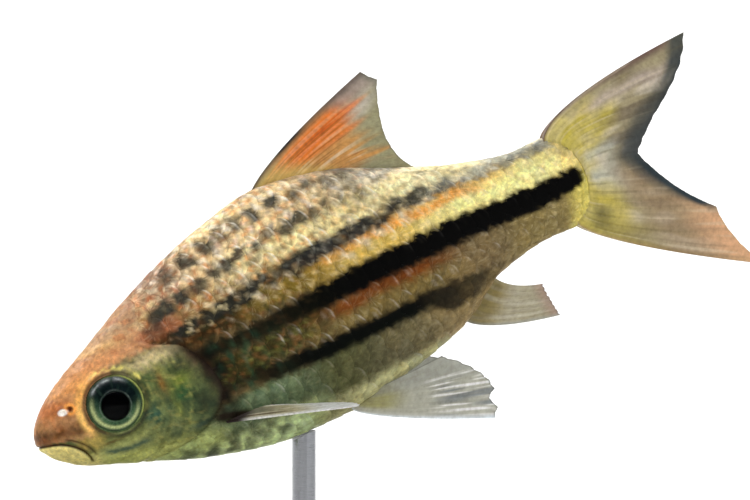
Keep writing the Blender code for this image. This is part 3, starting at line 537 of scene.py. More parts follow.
def skin_colour(place, q):
    """The one colour of skin and scales at places in the fish's frame. q is their column in the lattice of scales."""
    x, z = place[:, 0], place[:, 2]
    past = x - gill_x(z)
    nape = smooth(z, 4.0, 7.0)
    behind = smooth(past, -0.25, 0.25) * (1 - nape) + smooth(past, -3.0, 3.0) * nape
    rim = bump(past, -0.1, 0.6) * fade(z, 1.0, 4.0) * smooth(z, -8.5, -5.5)
    line = np.interp(x, (20, 22, 25, 27), (-7.7, -8.1, -8.9, -9.4))
    axil = bump(z, line, np.interp(x, (20, 22, 26), (0.3, 0.85, 0.4))) * window(x, 20.6, 25.2, 0.8)
    colour = mix(head_colour(place), flank_colour(x, z, place, q), behind)
    return np.clip(layered(colour, ((34, 20, 14), rim * 0.9), ((28, 14, 10), clamp(axil * 1.2) * 0.95)), 0.0, 0.95)


# Mesh and material helpers


def to_row(points):
    """Millimetres in the fish's frame as metres in the row frame."""
    dx, c, s = points[:, 0] - HELD_AT, math.cos(PITCH), math.sin(PITCH)
    return np.stack([dx * c - points[:, 2] * s, points[:, 1], HELD_HEIGHT + dx * s + points[:, 2] * c], axis=1) * MM


def piece(name, points, faces, material, slot, nodes=(), uv=None, **attributes):
    """A closed piece of the model, faces outwards. faces are arrays of quads or triangles.

    An attribute of three columns is a colour, and one of one column a number, at each point.
    """
    points = np.asarray(points, float)
    corners = [points[f] - points[0] for f in faces]
    volume = sum(np.einsum("ij,ij->", c[:, 0], np.cross(c[:, 1], c[:, 2])) for c in corners)
    volume += sum(np.einsum("ij,ij->", c[:, 0], np.cross(c[:, 2], c[:, 3])) for c in corners if c.shape[1] == 4)
    order = 1 if volume > 0 else -1
    mesh = bpy.data.meshes.new(name)
    mesh.from_pydata(to_row(points).tolist(), [], [f for part in faces for f in part[:, ::order].tolist()])
    for key, values in attributes.items():
        values = np.asarray(values, np.float32)
        if values.ndim == 2:
            layer = mesh.color_attributes.new(key.capitalize(), "FLOAT_COLOR", "POINT")
            layer.data.foreach_set("color", np.column_stack([values, np.ones(len(values))]).ravel())
        else:
            mesh.attributes.new(key.capitalize(), "FLOAT", "POINT").data.foreach_set("value", values)
    if uv is not None:
        corners = np.zeros(len(mesh.loops), int)
        mesh.loops.foreach_get("vertex_index", corners)
        mesh.uv_layers.new(name="OFBake").data.foreach_set("uv", np.asarray(uv, np.float32)[corners].ravel())
    mesh.shade_smooth()
    mesh.materials.append(material)
    obj = bpy.data.objects.new(name, mesh)
    bpy.context.scene.collection.objects.link(obj)
    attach(obj, "root")
    if nodes:
        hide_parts(*nodes)


class Shader:
    """A material made of nodes, built from its Principled shader back."""

    def __init__(self, name, **constants):
        self.material = bpy.data.materials.new(name)
        self.material.use_nodes = True
        self.tree = self.material.node_tree
        self.main = self.tree.nodes["Principled BSDF"]
        self.out = self.tree.nodes["Material Output"]
        for key, value in constants.items():
            self.main.inputs[key.replace("_", " ").title().replace("Ior", "IOR")].default_value = value

    def node(self, kind, settings=None, **inputs):
        """A node with settings and inputs. An input called _0 goes by its number."""
        made = self.tree.nodes.new("ShaderNode" + kind)
        for key, value in (settings or {}).items():
            setattr(made, key, value)
        for key, value in inputs.items():
            socket = made.inputs[int(key[1:])] if key[0] == "_" else made.inputs[key.replace("_", " ")]
            if isinstance(value, bpy.types.NodeSocket):
                self.tree.links.new(value, socket)
            else:
                socket.default_value = value
        return made

    def attribute(self, name, output="Fac"):
        return self.node("Attribute", {"attribute_name": name}).outputs[output]

    def tone(self):
        return self.attribute("Tone", "Color")

    def place(self, stretch=(1, 1, 1)):
        """Object coordinates in millimetres, squeezed along each axis."""
        point = self.node("TexCoord").outputs["Object"]
        return self.node("Mapping", _0=point, Scale=[1000 * s for s in stretch]).outputs[0]

    def noise(self, scale, detail, vector=None):
        vector = vector or self.place()
        return self.node("TexNoise", Vector=vector, Scale=scale, Detail=detail, Roughness=0.55).outputs["Fac"]

    def maths(self, operation, a, b=0.0):
        return self.node("Math", {"operation": operation}, _0=a, _1=b).outputs[0]

    def times(self, a, b):
        return self.maths("MULTIPLY", a, b)

    def plus(self, a, b):
        return self.maths("ADD", a, b)

    def span(self, value, low, high, to_low=0.0, to_high=1.0):
        return self.node("MapRange", _0=value, _1=low, _2=high, _3=to_low, _4=to_high).outputs[0]

    def blend(self, share, a, b, kind="MIX"):
        """Mixes two colours."""
        a, b = ((*v, 1.0) if isinstance(v, (tuple, np.ndarray)) else v for v in (a, b))
        return self.node("Mix", {"data_type": "RGBA", "blend_type": kind}, _0=share, _6=a, _7=b).outputs[2]

    def stain(self, tone, tint, value, low, high, most):
        """Multiplies a colour by a tint, by up to most, as value goes from low to high."""
        return self.blend(self.span(value, low, high, 0.0, most), tone, tint, "MULTIPLY")

    def feed(self, name, socket):
        self.tree.links.new(socket, self.main.inputs[name])

    def rough(self, value, low, high):
        self.feed("Roughness", self.span(value, 0.3, 0.7, low, high))

    def relief(self, height, distance, strength):
        self.feed("Normal", self.node("Bump", Strength=strength, Distance=distance * MM, Height=height).outputs[0])

    def surface(self, socket):
        self.tree.links.new(socket, self.out.inputs["Surface"])


def skin_material():
    made = Shader("fish_skin", coat_weight=0.04, coat_roughness=0.2, specular_ior_level=0.12)
    grain, specks = made.noise(1.6, 5.0), made.noise(4.5, 3.0)
    tone = made.stain(made.tone(), linear(120, 92, 66), grain, 0.4, 0.7, 0.28)
    tone = made.stain(tone, linear(90, 66, 50), specks, 0.56, 0.7, 0.28)
    made.feed("Base Color", made.stain(tone, (1.75, 1.65, 1.35), made.noise(2.2, 5.0), 0.46, 0.76, 0.6))
    made.rough(grain, 0.36, 0.52)
    made.feed("Metallic", made.times(made.attribute("Shine"), 0.4))
    made.relief(made.plus(made.times(specks, 0.6), grain), 0.05, 0.4)
    return made.material


def scale_material():
    """Growth rings, grooves that fan out to the rear edge, and faint streaks along them."""
    made = Shader("fish_scales", specular_ior_level=0.04)
    growth, radii, luck, shine = (made.attribute(name) for name in ("Growth", "Radii", "Luck", "Shine"))
    rings, rays = (made.maths("SINE", made.times(value, turns)) for value, turns in ((growth, 110.0), (radii, 40.0)))
    fan = made.node("CombineXYZ", _0=made.times(radii, 4.0), _1=made.times(growth, 1.5), _2=made.times(luck, 40.0))
    streaks = made.noise(1.0, 4.0, fan.outputs[0])
    tone = made.stain(made.tone(), linear(140, 104, 70), streaks, 0.54, 0.36, 0.18)
    tone = made.stain(tone, linear(120, 92, 62), made.noise(1.5, 5.0), 0.44, 0.72, 0.4)
    tone = made.blend(made.times(made.span(streaks, 0.52, 0.7, 0.0, 0.8), shine), tone, linear(252, 236, 190))
    made.feed("Base Color", made.stain(tone, (1.6, 1.5, 1.3), made.noise(2.1, 5.0), 0.48, 0.74, 0.6))
    made.feed("Metallic", made.times(shine, 0.7))
    made.rough(made.noise(3.0, 3.0), 0.32, 0.5)
    height = made.plus(made.times(rings, 0.2), made.times(rays, 0.12))
    made.relief(made.plus(height, streaks), 0.02, 0.4)
    return made.material


def fin_material():
    """Thin webs that let light and what is behind them through, with jointed rays."""
    made = Shader("fin_web", roughness=0.42, specular_ior_level=0.4, coat_weight=0.1, coat_roughness=0.25)
    joints = made.maths("SINE", made.times(made.attribute("Reach"), JOINTS))
    jointed = made.times(made.span(joints, 0.2, 1, 0.0, 0.12), made.attribute("Ray"))
    tone = made.blend(jointed, made.tone(), linear(110, 96, 76), "MULTIPLY")
    grain = made.noise(1.4, 4.0)
    tone = made.stain(tone, linear(110, 96, 70), grain, 0.35, 0.7, 0.3)
    made.feed("Base Color", tone)
    made.relief(made.plus(grain, made.times(joints, 0.2)), 0.04, 0.5)
    through, clear = made.node("BsdfTranslucent", Color=tone), made.node("BsdfTransparent")
    body = made.node("MixShader", _0=0.3, _1=made.main.outputs[0], _2=through.outputs[0])
    both = made.node("MixShader", _0=made.attribute("Solid"), _1=clear.outputs[0], _2=body.outputs[0])
    made.surface(both.outputs[0])
    return made.material


# The skin


def baked_at(x):
    """How far along the baked picture the place at x lies."""
    return x / BODY_END * 0.98 + 0.01


def grid_faces(rows, columns, closed=False):
    """Quads between rows of points, wrapped round where closed."""
    i, j = np.meshgrid(np.arange(rows - 1), np.arange(columns if closed else columns - 1), indexing="ij")
    a, b = i * columns + j, i * columns + (j + 1) % columns
    return np.stack([a, b, b + columns, a + columns], axis=-1).reshape(-1, 4)


def capped_tube(rows, count):
    """Faces of a tube of rows of points, closed by fans to its two end points, which come after all the others."""
    k = np.arange(count)
    after, end, tip = (k + 1) % count, (rows - 1) * count, np.full(count, rows * count)
    fans = [(tip, after, k), (tip + 1, end + k, end + after)]
    return [grid_faces(rows, count, closed=True)] + [np.stack(fan, axis=1) for fan in fans]


def head_relief(place):
    """How far the skin of the head stands out from the plain body, in millimetres."""
    x, _, z = place.T
    over, along = mouth_place(place)
    lips = 0.1 * bump(over, 0.5, 0.34) + 0.12 * bump(over, -0.46, 0.34) - 0.2 * bump(over, 0.0, 0.13)
    fold = 0.08 * bump(over, 0.75, 0.14) * smooth(along, 0.3, 0.5) * fade(along, 0.9, 1.02)
    lift = (lips * fade(along, 0.94, 1.08) - fold) * (x < 7)
    for (nx, nz, size), depth in zip(NOSTRILS, (0.12, 0.45)):
        off = np.hypot(x - nx, z - nz) / size
        lift += 0.1 * bump(off, 1.15, 0.28) - depth * fade(off, 0.45, 0.95)
    lift += 0.3 * bump(x, NOSTRIL_FLAP[0], 0.25) * bump(z, NOSTRIL_FLAP[1], 0.42)
    # The cheek's plate, then the grooves under it, along the top of the gill cover and low on the cover
    inner = np.hypot(x - 9.6, (z + 2.6) * 0.92)
    cheek = smooth(x - 0.3 * z, 10, 12.5) * fade(z, 1.0, 2.6)
    lift += cheek * (0.1 * bump(inner, 6.1, 0.5) - 0.17 * bump(inner, 6.6, 0.22))
    lift -= 0.1 * bump(z + 0.12 * (x - 9), -7.9, 0.16) * smooth(x, 6.5, 8.5) * fade(x, 15, 17)
    lift -= 0.05 * bump(z - 0.05 * x, 3.2, 0.3) * smooth(x, 12.5, 14) * fade(x, 18, 20)
    lift -= 0.09 * bump(z + 0.25 * (x - 15), -6.4, 0.16) * smooth(x, 16.2, 17) * fade(x, 20, 22)
    return lift + 0.035 * wave_noise(place, 2.4, 21) + 0.015 * wave_noise(place, 0.9, 22)


def skin_points(x, run, side):
    """Points of the skin: under the scales behind the head, and with the head's own relief on it."""
    place, normal = on_body(x, run, side), body_normals(x, run, side)
    z = place[:, 2]
    past = x - gill_x(z)
    nape = smooth(z, 3.5, 5.5)
    head = fade(past, -0.05, 0.3) * (1 - nape) + fade(past, -1.5, 1.5) * nape
    lift = head_relief(place) * fade(past, -1.5, -0.2) - INSET * (1 - head)
    # The raised gill cover and the slit behind its rim
    edge = np.sqrt(clamp(1 - ((z - GILL_CENTRE[1]) / GILL_RISE) ** 2)) * fade(z, 3.5, 5.2) * smooth(z, -9.8, -8.8)
    lift += COVER_LIFT * smooth(past, -COVER_SLOPE, 0.0) * edge * head
    lift -= 0.25 * bump(past, 0.45, 0.35) * edge * fade(z, 1.0, 3.5)
    place = place + normal * lift[:, None]
    # The raised rim of the orbit, and the skin that is sunk under the eye
    radius, _, height = eye_place(place)
    one = np.ones(len(x))
    look = eye_frame(1)[1][:, 2] * np.column_stack([one, np.sign(place[:, 1] + 1e-9), one])
    orbit = 0.3 * np.sqrt(clamp(1 - ((radius - EYE_RADIUS - 0.3) / 0.5) ** 2))
    level = -0.12 + orbit - 1.6 * fade(radius, EYE_RADIUS - 0.5, EYE_RADIUS + 0.02)
    return place + look * ((level - height) * fade(radius, EYE_RADIUS + 0.35, EYE_RADIUS + 1.5))[:, None]


def skin():
    head = np.concatenate([np.linspace(0.05, 1.4, 22), np.linspace(1.45, 4.85, 92)]) ** 2
    xs = np.concatenate([head, np.linspace(23.9, BODY_END - 0.35, 130), BODY_END - np.array([0.2, 0.08, 0.02])])
    count = 300
    share = (np.arange(count) + 0.5) / count * 2
    x = np.repeat(xs, count)
    run = np.tile(np.where(share < 1, share, 2 - share), len(xs)) * half_girth(x)
    points = skin_points(x, run, np.tile(np.where(share < 1, 1.0, -1.0), len(xs)))
    points = np.vstack([points, points[:count].mean(0), points[-count:].mean(0)])
    uv = np.stack([baked_at(x), np.tile(share / 2, len(xs))], axis=1)
    uv = np.vstack([uv, (0.005, 0.5), (0.995, 0.5)])
    q = column_at(np.concatenate([x, x[:1], x[-1:]]))
    cheek = smooth(points[:, 0], 10, 15) * fade(points[:, 2], 1.5, 4.0) * fade(points[:, 0], 22, 24)
    tone, shine = skin_colour(points, q), cheek * 0.6 + 0.08
    faces, nodes = capped_tube(len(xs), count), ("head", "torso", "tail")
    piece("skin", points, faces, skin_material(), "body_skin", nodes, uv, tone=tone, shine=shine)


# The scales

SCALE_S = np.array([0.0, 0.2, 0.4, 0.55, 0.68, 0.79, 0.88, 0.94, 0.98, 1.0])
SCALE_T = np.linspace(-1.0, 1.0, 13)
REAR_SAG, LENGTH_PITCH = 1.9, 2.6  # how round the rear edge is, and the pitch at which a scale has its full length
HALF_WIDE = 0.72  # half the width of a scale, as a share of its row's height
FOCUS, STRETCH = 0.45, 2.1  # where the growth rings start, and how flat they are
# Colours of the painted highlights on the scales' rear edges, pale gold and white, and of a darker arc on the scales
PAINTED_EDGE_HIGHLIGHT, GLINT, ARC = linear(232, 216, 170), linear(246, 248, 246), linear(96, 76, 48)


def scale_places():
    """The column, row and side of each scale that isn't on a midline."""
    found = []
    for column in range(COLUMNS + 1):
        for row in range(-8, 9):
            q = column + 0.5 * (row % 2)
            x, run = from_lattice(q, row)
            girth, height = half_girth(x), row_height(x)
            if 0.4 * height < run < girth - 0.4 * height and x < 78.6:
                z = on_body(x, run, 1)[2]
                if x > gill_x(z) - 0.4:
                    found += [(q, row, side) for side in (1, -1)]
    return found


def scale_sheet(q, r, side, run_at=None):
    """One scale's points, on the skin at its root and proud of it at its rear edge.

    s goes from its root to its rear edge and t across it, from -1 to 1.
    """
    s, t = (v.ravel() for v in np.meshgrid(SCALE_S, SCALE_T, indexing="ij"))
    (rear_x, _), (centre_x, _) = from_lattice(q + 0.55, r), from_lattice(q, r)
    size = np.interp(centre_x, PITCH_X, PITCHES) / LENGTH_PITCH
    jitter = RANDOM.normal(size=5)
    sag = REAR_SAG * size * (1 - np.sqrt(1 - (0.95 * t) ** 2)) + 0.03 * np.sin(9 * t + jitter[0])
    x = rear_x + 0.05 * jitter[1] - sag * s - SCALE_LENGTH * size * (1 - s)
    across = 0.8 + 0.2 * np.sin(math.pi * np.minimum(s * 0.9, 0.5))
    across = t * HALF_WIDE * row_height(centre_x) * across
    across = across + 0.03 * jitter[2] * (x - rear_x) + 0.04 * jitter[3]
    x = np.clip(x, 0.5, BODY_END - 0.3)
    run = across + (run_at(x) if run_at else lateral_run(x) + r * row_height(x))
    lift = 0.015 + (INSET + 0.02 + 0.008 * jitter[4]) * s**1.25 - 0.035 * np.abs(t) ** 3 - 0.03 * smooth(s, 0.93, 1.0)
    thick = SCALE_THICK * (1 - 0.5 * smooth(s, 0.9, 1.0)) * (1 - 0.4 * np.abs(t) ** 4)
    place, normal = on_body(x, run, side), body_normals(x, run, side)
    flat = fade(x, NAPE_X - 1, NAPE_X + 6) * smooth(place[:, 2], 3, 5)
    top = place + normal * (lift * (1 - 0.7 * flat) - INSET)[:, None]
    return s, t, x, run, top, top - normal * thick[:, None]


def scale_faces(rows, columns):
    """A closed sheet of quads: its top, its underside and its rim."""
    top = grid_faces(rows, columns)
    under = top[:, ::-1] + rows * columns
    loop = list(range(columns)) + [i * columns + columns - 1 for i in range(1, rows)]
    loop += [(rows - 1) * columns + j for j in range(columns - 2, -1, -1)]
    loop = np.array(loop + [i * columns for i in range(rows - 2, 0, -1)])
    after = np.roll(loop, -1)
    rim = np.stack([loop, loop + rows * columns, after + rows * columns, after], axis=1)[:, ::-1]
    return np.vstack([top, under, rim])


def scale_looks(s, t, x, r, top, luck):
    """A scale's colours and shine.

    It has painted highlights, pale strokes near its rear edge, and painted shade where the one before it covers it.
    """
    tone = skin_colour(top, column_at(x))
    light = clamp((tone.mean(1) - 0.03) / 0.16)
    region = np.interp(x.mean(), (17, 21, 26, 44, 62, 78), (0.0, 0.45, 1.0, 0.9, 0.4, 0.15))
    region *= 0.3 + 0.7 * float(smooth(r, -3.5, -1.5))
    # painted highlights: a pale stroke just inside the rear edge and a second one further in, weaker in dark places
    painted_highlight_stroke = bump(s, 0.93, 0.035) * window(t, 0.5 * luck[0], 0.8, 0.15) * (luck[2] > 0.3)
    second = bump(s, 0.7 + 0.08 * luck[3], 0.03) * window(t, 0.3 * luck[4], 0.5 + 0.3 * luck[4], 0.12)
    share = clamp(painted_highlight_stroke * (0.35 + 0.75 * luck[4]) + 0.75 * second * (luck[5] < 0.75)) * region * (0.02 + 0.98 * light)
    arc = bump(s, 0.8, 0.07) * float(smooth(r, 0.5, 2.0)) * region
    tone = layered(tone, (mix(PAINTED_EDGE_HIGHLIGHT, GLINT, luck[2]), share * 0.95), (ARC, arc * 0.38 * light))
    tint = 1 + (luck[3] - 0.5) * np.array((0.18, 0.12, -0.04)) + 0.1 * (luck[5] - 0.5)
    # painted shade at the scale's root, where the scale before it covers it
    shade = smooth(x - gill_x(top[:, 2]), 0.5, 4.0) * np.interp(x.mean(), (17, 24, 40, 60), (0.06, 0.28, 0.24, 0.14))
    shine = (0.1 + 0.25 * luck[0]) * light * (0.4 + 0.6 * float(smooth(r, -3.0, 0.0)))
    return tone * tint * (1 - shade * fade(s, 0.48, 0.74))[:, None], shine


def scale_piece(name, places, material):
    """Many scales as one joined mesh. places are (column, row, side, way along the skin or None)."""
    pattern, middle = scale_faces(len(SCALE_S), len(SCALE_T)), len(SCALE_T) // 2
    parts, faces, uvs = [], [], []
    looks = {key: [] for key in ("tone", "shine", "growth", "radii", "luck")}
    for q, r, side, run_at in places:
        s, t, x, run, top, under = scale_sheet(q, r, side, run_at)
        luck = RANDOM.random(6)
        share = run[middle] / half_girth(x[middle]) / 2
        patch = (baked_at(x[0]), share if side > 0 else 1 - share)
        uv = np.array(patch) + UV_PATCH * np.stack([s - 0.5, t / 2], axis=1)
        out = (s - FOCUS) * STRETCH
        made = (*scale_looks(s, t, x, r, top, luck), np.hypot(out, t), np.arctan2(t, out), np.full(len(s), luck[1]))
        for found, values in zip(looks.values(), made):
            found.append(np.concatenate([values, values]))
        faces.append(pattern + 2 * len(s) * len(parts))
        parts.append(np.vstack([top, under]))
        uvs.append(np.vstack([uv, uv]))
    looks = {key: np.concatenate(values) for key, values in looks.items()}
    piece(name, np.vstack(parts), [np.vstack(faces)], material, "body_skin", uv=np.vstack(uvs), **looks)


# Rows of scales along the midlines of the back and the belly: x from and to, and how far round the body they run
MIDLINES = ((20.5, 35.5, half_girth), (58.0, 76.5, half_girth))
MIDLINES += tuple((first, last, np.zeros_like) for first, last in ((15.0, 36.0), (43.0, 54.5), (66.5, 76.0)))


def scales():
    material, places = scale_material(), scale_places()
    for side, name in SIDES:
        scale_piece(f"scales_{name}", [(q, r, s, None) for q, r, s in places if s == side], material)
    ridges = [(q, 0, 1, way) for first, last, way in MIDLINES for q in np.arange(column_at(first), column_at(last))]
    scale_piece("scales_midlines", ridges, material)


# Fins


def between(points, at):
    """Points between the given ones, at these places counted in rays."""
    points = np.asarray(points, float)
    return np.stack([np.interp(at, np.arange(len(points)), points[:, k]) for k in range(3)], axis=-1)


def fin(node, roots, tips, bows, paint, slot, thick, fray, seed, per_ray=14, rows=64, ripple=0.0, flare=0.0):
    """A thin fin web with forked, jointed rays standing out from it on both faces.

    paint takes the share of the way from the first ray to the last, the share of the way out, how much of a ray is
    there and the way left to the margin in millimetres. It gives the colour and how solid the fin is.
    """
    source = np.random.default_rng(seed)
    count = len(roots)
    u = np.linspace(0, count - 1, (count - 1) * per_ray + 1)
    s = np.linspace(0.0, 1.0, rows)
    off = u - np.round(u)
    root, tip = between(roots, u), between(tips, u)
    length = np.linalg.norm(tip - root, axis=1)
    torn = source.random(count + 1)[np.floor(u).astype(int)]
    recess = fray * (0.4 + 1.2 * torn) * np.abs(2 * off) ** 1.5 + 0.12 * fray * np.sin(u * 19.0 + seed)
    reach = 1 - np.clip(recess, 0, None) / length
    share = reach[:, None] * s
    way_out, way_across = share * length[:, None], (u / (count - 1))[:, None]
    bow = np.array(bows[0]) + (np.array(bows[1]) - np.array(bows[0])) * way_across
    bent = share**BOW_SKEW
    middle = root[:, None] + (tip - root)[:, None] * share[..., None]
    middle = middle + bow[:, None] * (4 * bent * (1 - bent))[..., None]
    normal = np.cross(np.gradient(middle, axis=0), np.gradient(middle, axis=1))
    normal /= np.maximum(np.linalg.norm(normal, axis=2, keepdims=True), 1e-9)
    wave = np.sin(u[:, None] * 0.9 + 2.2 * share + seed) + 0.6 * np.sin(u[:, None] * 2.1 - 3.1 * share + 2 * seed)
    middle = middle + normal * (ripple * wave * smooth(share, 0.25, 1.0))[..., None]
    gap = np.maximum(np.linalg.norm(np.gradient(middle, axis=0), axis=2) * per_ray, 0.05)
    wide = np.maximum(np.interp(share, (0, 1), FORKS) / gap, 0.035)
    first, second = smooth(share, 0.3, 1.0) * FORKS[0], smooth(share, 0.62, 1.0) * FORKS[1]
    stiff = (np.minimum(u, count - 1 - u) < 0.5)[:, None]
    ray = np.zeros_like(share)
    for fork in (-first - second, second - first, first - second, first + second):
        ray = np.maximum(ray, bump(off[:, None], np.where(stiff, 0.0, fork), wide))
    height = np.interp(share, (0, 1), thick) * (1.0 + 0.35 * stiff)
    joint = 1 - 0.16 * (np.sin(way_out * JOINTS) > 0.72) * smooth(share, 0.2, 0.4)
    half = (WEB + (height - WEB) * ray * joint) / 2
    half *= np.minimum(1.0, (1 - s) * rows / 2.5 + 0.35)
    half += flare * fade(way_out, 0.0, 5.5) ** 2
    left = (reach[:, None] - share) * length[:, None]
    tone, solid = paint(np.broadcast_to(way_across, share.shape), share, ray, left)
    looks = {"tone": np.clip(tone, 0, 0.95), "solid": clamp(solid), "ray": ray, "reach": way_out}
    looks = {key: np.concatenate([v.reshape(-1, *v.shape[2:])] * 2) for key, v in looks.items()}
    points = np.concatenate([(middle + normal * (face * half)[..., None]).reshape(-1, 3) for face in (1, -1)])
    piece(f"{node}_web", points, [scale_faces(len(u), rows)], FIN_MATERIAL, slot, (node,), **looks)


def curve(first, corner, last, count):
    """count points along a curve from first to last that bends towards corner."""
    first, corner, last = (np.asarray(p, float) for p in (first, corner, last))
    t = np.linspace(0.0, 1.0, count)[:, None]
    return first * (1 - t) ** 2 + corner * 2 * t * (1 - t) + last * t * t


def fan_noise(u, s, across, along, seed):
    """Streaks that run out along the rays."""
    return wave_noise(np.stack([u * across, s * along, u * 0], axis=-1).reshape(-1, 3), 2.0, seed).reshape(u.shape)


def paint_dorsal(u, s, ray, left):
    streak, fine = fan_noise(u, s, 26, 1.6, 31), fan_noise(u, s, 60, 2.5, 32)
    fire = window(u + 0.03 * streak, 0.035, 0.3, 0.06) * window(s + 0.06 * streak, 0.16, 0.78, 0.12)
    warm = window(u + 0.05 * streak, 0.03, 0.7, 0.1) * fade(s + 0.12 * streak, 0.55, 0.95)
    front = fade(u, 0.005, 0.055)
    base = fade(s, 0.05, 0.3)
    tone = layered(
        linear(170, 166, 128),
        ((224, 166, 88), warm * 0.9),
        ((238, 136, 46), fire),
        ((214, 98, 20), fire * smooth(-streak, -0.2, 0.9) * smooth(s, 0.3, 0.55) * 0.7),
        ((250, 176, 100), fire * smooth(fine, 0.3, 1.1) * 0.5),
        ((238, 216, 180), smooth(streak + 0.3 * fine, 0.2, 1.0) * warm * (1 - 0.7 * fire) * 0.8),
        ((164, 96, 42), warm * smooth(-fine - 0.4 * streak, 0.3, 1.0) * 0.6),
        ((230, 208, 124), base * window(u, 0.03, 0.6, 0.08) * 0.75),
        ((222, 166, 116), base * window(u, 0.6, 0.95, 0.08) * 0.6),
        ((222, 212, 204), window(u + 0.2 * s, 0.27, 0.42, 0.1) * window(s, 0.76, 0.98, 0.12) * (0.6 + 0.3 * streak)),
        ((178, 160, 152), window(u, -0.1, 0.1, 0.05) * smooth(s, 0.62, 0.8) * 0.8),
        ((134, 132, 116), smooth(s, 0.93, 1.0) * fade(u, 0.05, 0.25) * 0.9),
        ((34, 26, 26), front * window(s, 0.26, 0.52, 0.08)),
        ((92, 76, 68), front * (1 - window(s, 0.26, 0.52, 0.08)) * 0.7),
        ((110, 106, 88), fade(left, 0.0, 0.3) * 0.5),
    )
    return tone, 0.9 + 0.1 * ray + 0.2 * (fire + warm)


def paint_caudal(u, s, ray, left):
    streak, fine = fan_noise(u, s, 20, 2.2, 33), fan_noise(u, s, 60, 3.0, 34)
    blot, cloud = fan_noise(u, s, 9, 6.0, 37), fan_noise(u, s, 14, 9.0, 43)
    lower = smooth(u, 0.48, 0.58)
    wide = np.interp(u, (0, 0.1, 0.3, 0.5, 0.7, 0.85), (0.6, 3.0, 4.8, 4.6, 3.4, 0.9))
    margin = fade(left + 0.5 * blot, 0.1 * wide, wide) * smooth(u, 0.03, 0.1) * fade(u, 0.74, 0.82)
    tip = smooth(s + 0.03 * blot, 0.82, 0.95) * fade(u, 0.12, 0.3)
    edge = fade(u, 0.0, 0.045)
    near = fade(s + 0.1 * blot, 0.05, 0.45)
    yellow = window(u + 0.05 * cloud, 0.14, 0.42, 0.1) * window(s + 0.06 * blot, 0.0, 0.5, 0.2)
    tone = layered(
        linear(182, 170, 134),
        ((122, 108, 88), smooth(streak + 0.5 * cloud, -0.1, 1.0) * 0.66),
        ((236, 226, 208), smooth(-streak + 0.4 * cloud, 0.1, 1.0) * 0.7),
        ((236, 222, 134), near * (0.65 + 0.35 * smooth(blot, -0.6, 0.5))),
        ((218, 202, 70), yellow * (0.66 + 0.45 * cloud)),
        ((218, 222, 214), window(u, 0.4, 0.62, 0.07) * window(s, 0.1, 0.62, 0.1) * (0.6 + 0.35 * streak)),
        ((172, 146, 110), smooth(s, 0.3, 0.6) * lower * 0.7),
        ((210, 194, 88), window(u, 0.62, 1.1, 0.08) * window(s, -0.2, 0.34, 0.12) * (0.72 + 0.3 * cloud)),
        ((236, 190, 146), smooth(s, 0.62, 0.95) * smooth(u, 0.66, 0.85) * 0.95),
        ((96, 90, 42), window(u, 0.78, 0.94, 0.06) * window(s, 0.06, 0.2, 0.06) * (0.7 + 0.3 * blot)),
        ((150, 134, 60), window(u, 0.86, 1.1, 0.06) * window(s, 0.2, 0.5, 0.12) * 0.6),
        ((34, 52, 60), np.maximum(margin, tip * 0.85)),
        ((88, 84, 74), fade(left, 1.0, 6.0) * (1 - lower) * smooth(u, 0.08, 0.2) * 0.4),
        ((210, 194, 184), bump(u + 0.01 * blot, 0.11, 0.035) * smooth(s, 0.1, 0.4) * (1 - tip) * 0.7),
        ((120, 88, 80), edge * (1 - tip) * 0.9),
        ((196, 164, 118), smooth(u, 0.96, 1.0) * 0.5),
        ((112, 100, 66), (0.1 * ray + 0.2 * smooth(-fine, 0.3, 1.0)) * (1 - margin)),
        ((234, 222, 192), smooth(fine, 0.6, 1.3) * 0.3 * (1 - margin)),
    )
    return tone, 0.93 + 0.07 * ray


def paint_anal(u, s, ray, left):
    streak, fine = fan_noise(u, s, 12, 1.4, 35), fan_noise(u, s, 40, 2.0, 38)
    tone = layered(
        linear(178, 170, 140),
        ((158, 142, 84), fade(s, 0.14, 0.45)),
        ((206, 200, 178), smooth(streak, -0.4, 0.8) * 0.5),
        ((140, 128, 104), ray * 0.12 + 0.25 * smooth(-fine, 0.2, 1.0)),
        ((178, 144, 128), fade(left, 0.4, 2.2) * 0.6),
        ((120, 98, 88), fade(left, 0.0, 0.4) * 0.6),
        ((148, 156, 150), fade(u, 0, 0.12) * 0.5),
    )
    return tone, 0.8 + 0.1 * ray + 0.2 * fade(s, 0.1, 0.4)


def paint_pelvic(u, s, ray, left):
    streak, fine = fan_noise(u, s, 17, 2.4, 36), fan_noise(u, s, 50, 4.0, 39)
    # a painted highlight: silvery white streaks over the outer part of the pelvic fins
    painted_silver_highlight = window(s, 0.55, 1.1, 0.08) * smooth(streak + 0.5 * fine, -0.1, 0.6) * window(u, 0.05, 0.72, 0.08)
    tone = layered(
        linear(200, 200, 186),
        ((176, 172, 116), fade(s, 0.16, 0.42) * smooth(u, 0.1, 0.3)),
        ((140, 146, 148), smooth(s, 0.5, 0.7) * smooth(-streak, 0.1, 0.8) * fade(u, 0.6, 0.8) * 0.9),
        ((176, 178, 170), smooth(u, 0.55, 0.8) * 0.6),
        ((172, 170, 150), 0.12 * ray + 0.2 * smooth(-fine, 0.2, 1.0)),
        ((255, 255, 254), painted_silver_highlight),
        ((60, 62, 62), fade(left, 0.0, 0.3) * 0.6 + fade(1 - u, 0.0, 0.02) * 0.5),
        ((238, 246, 254), fade(u, 0.0, 0.07) * 0.95),
    )
    return tone, 0.8 + 0.1 * ray + 0.3 * painted_silver_highlight


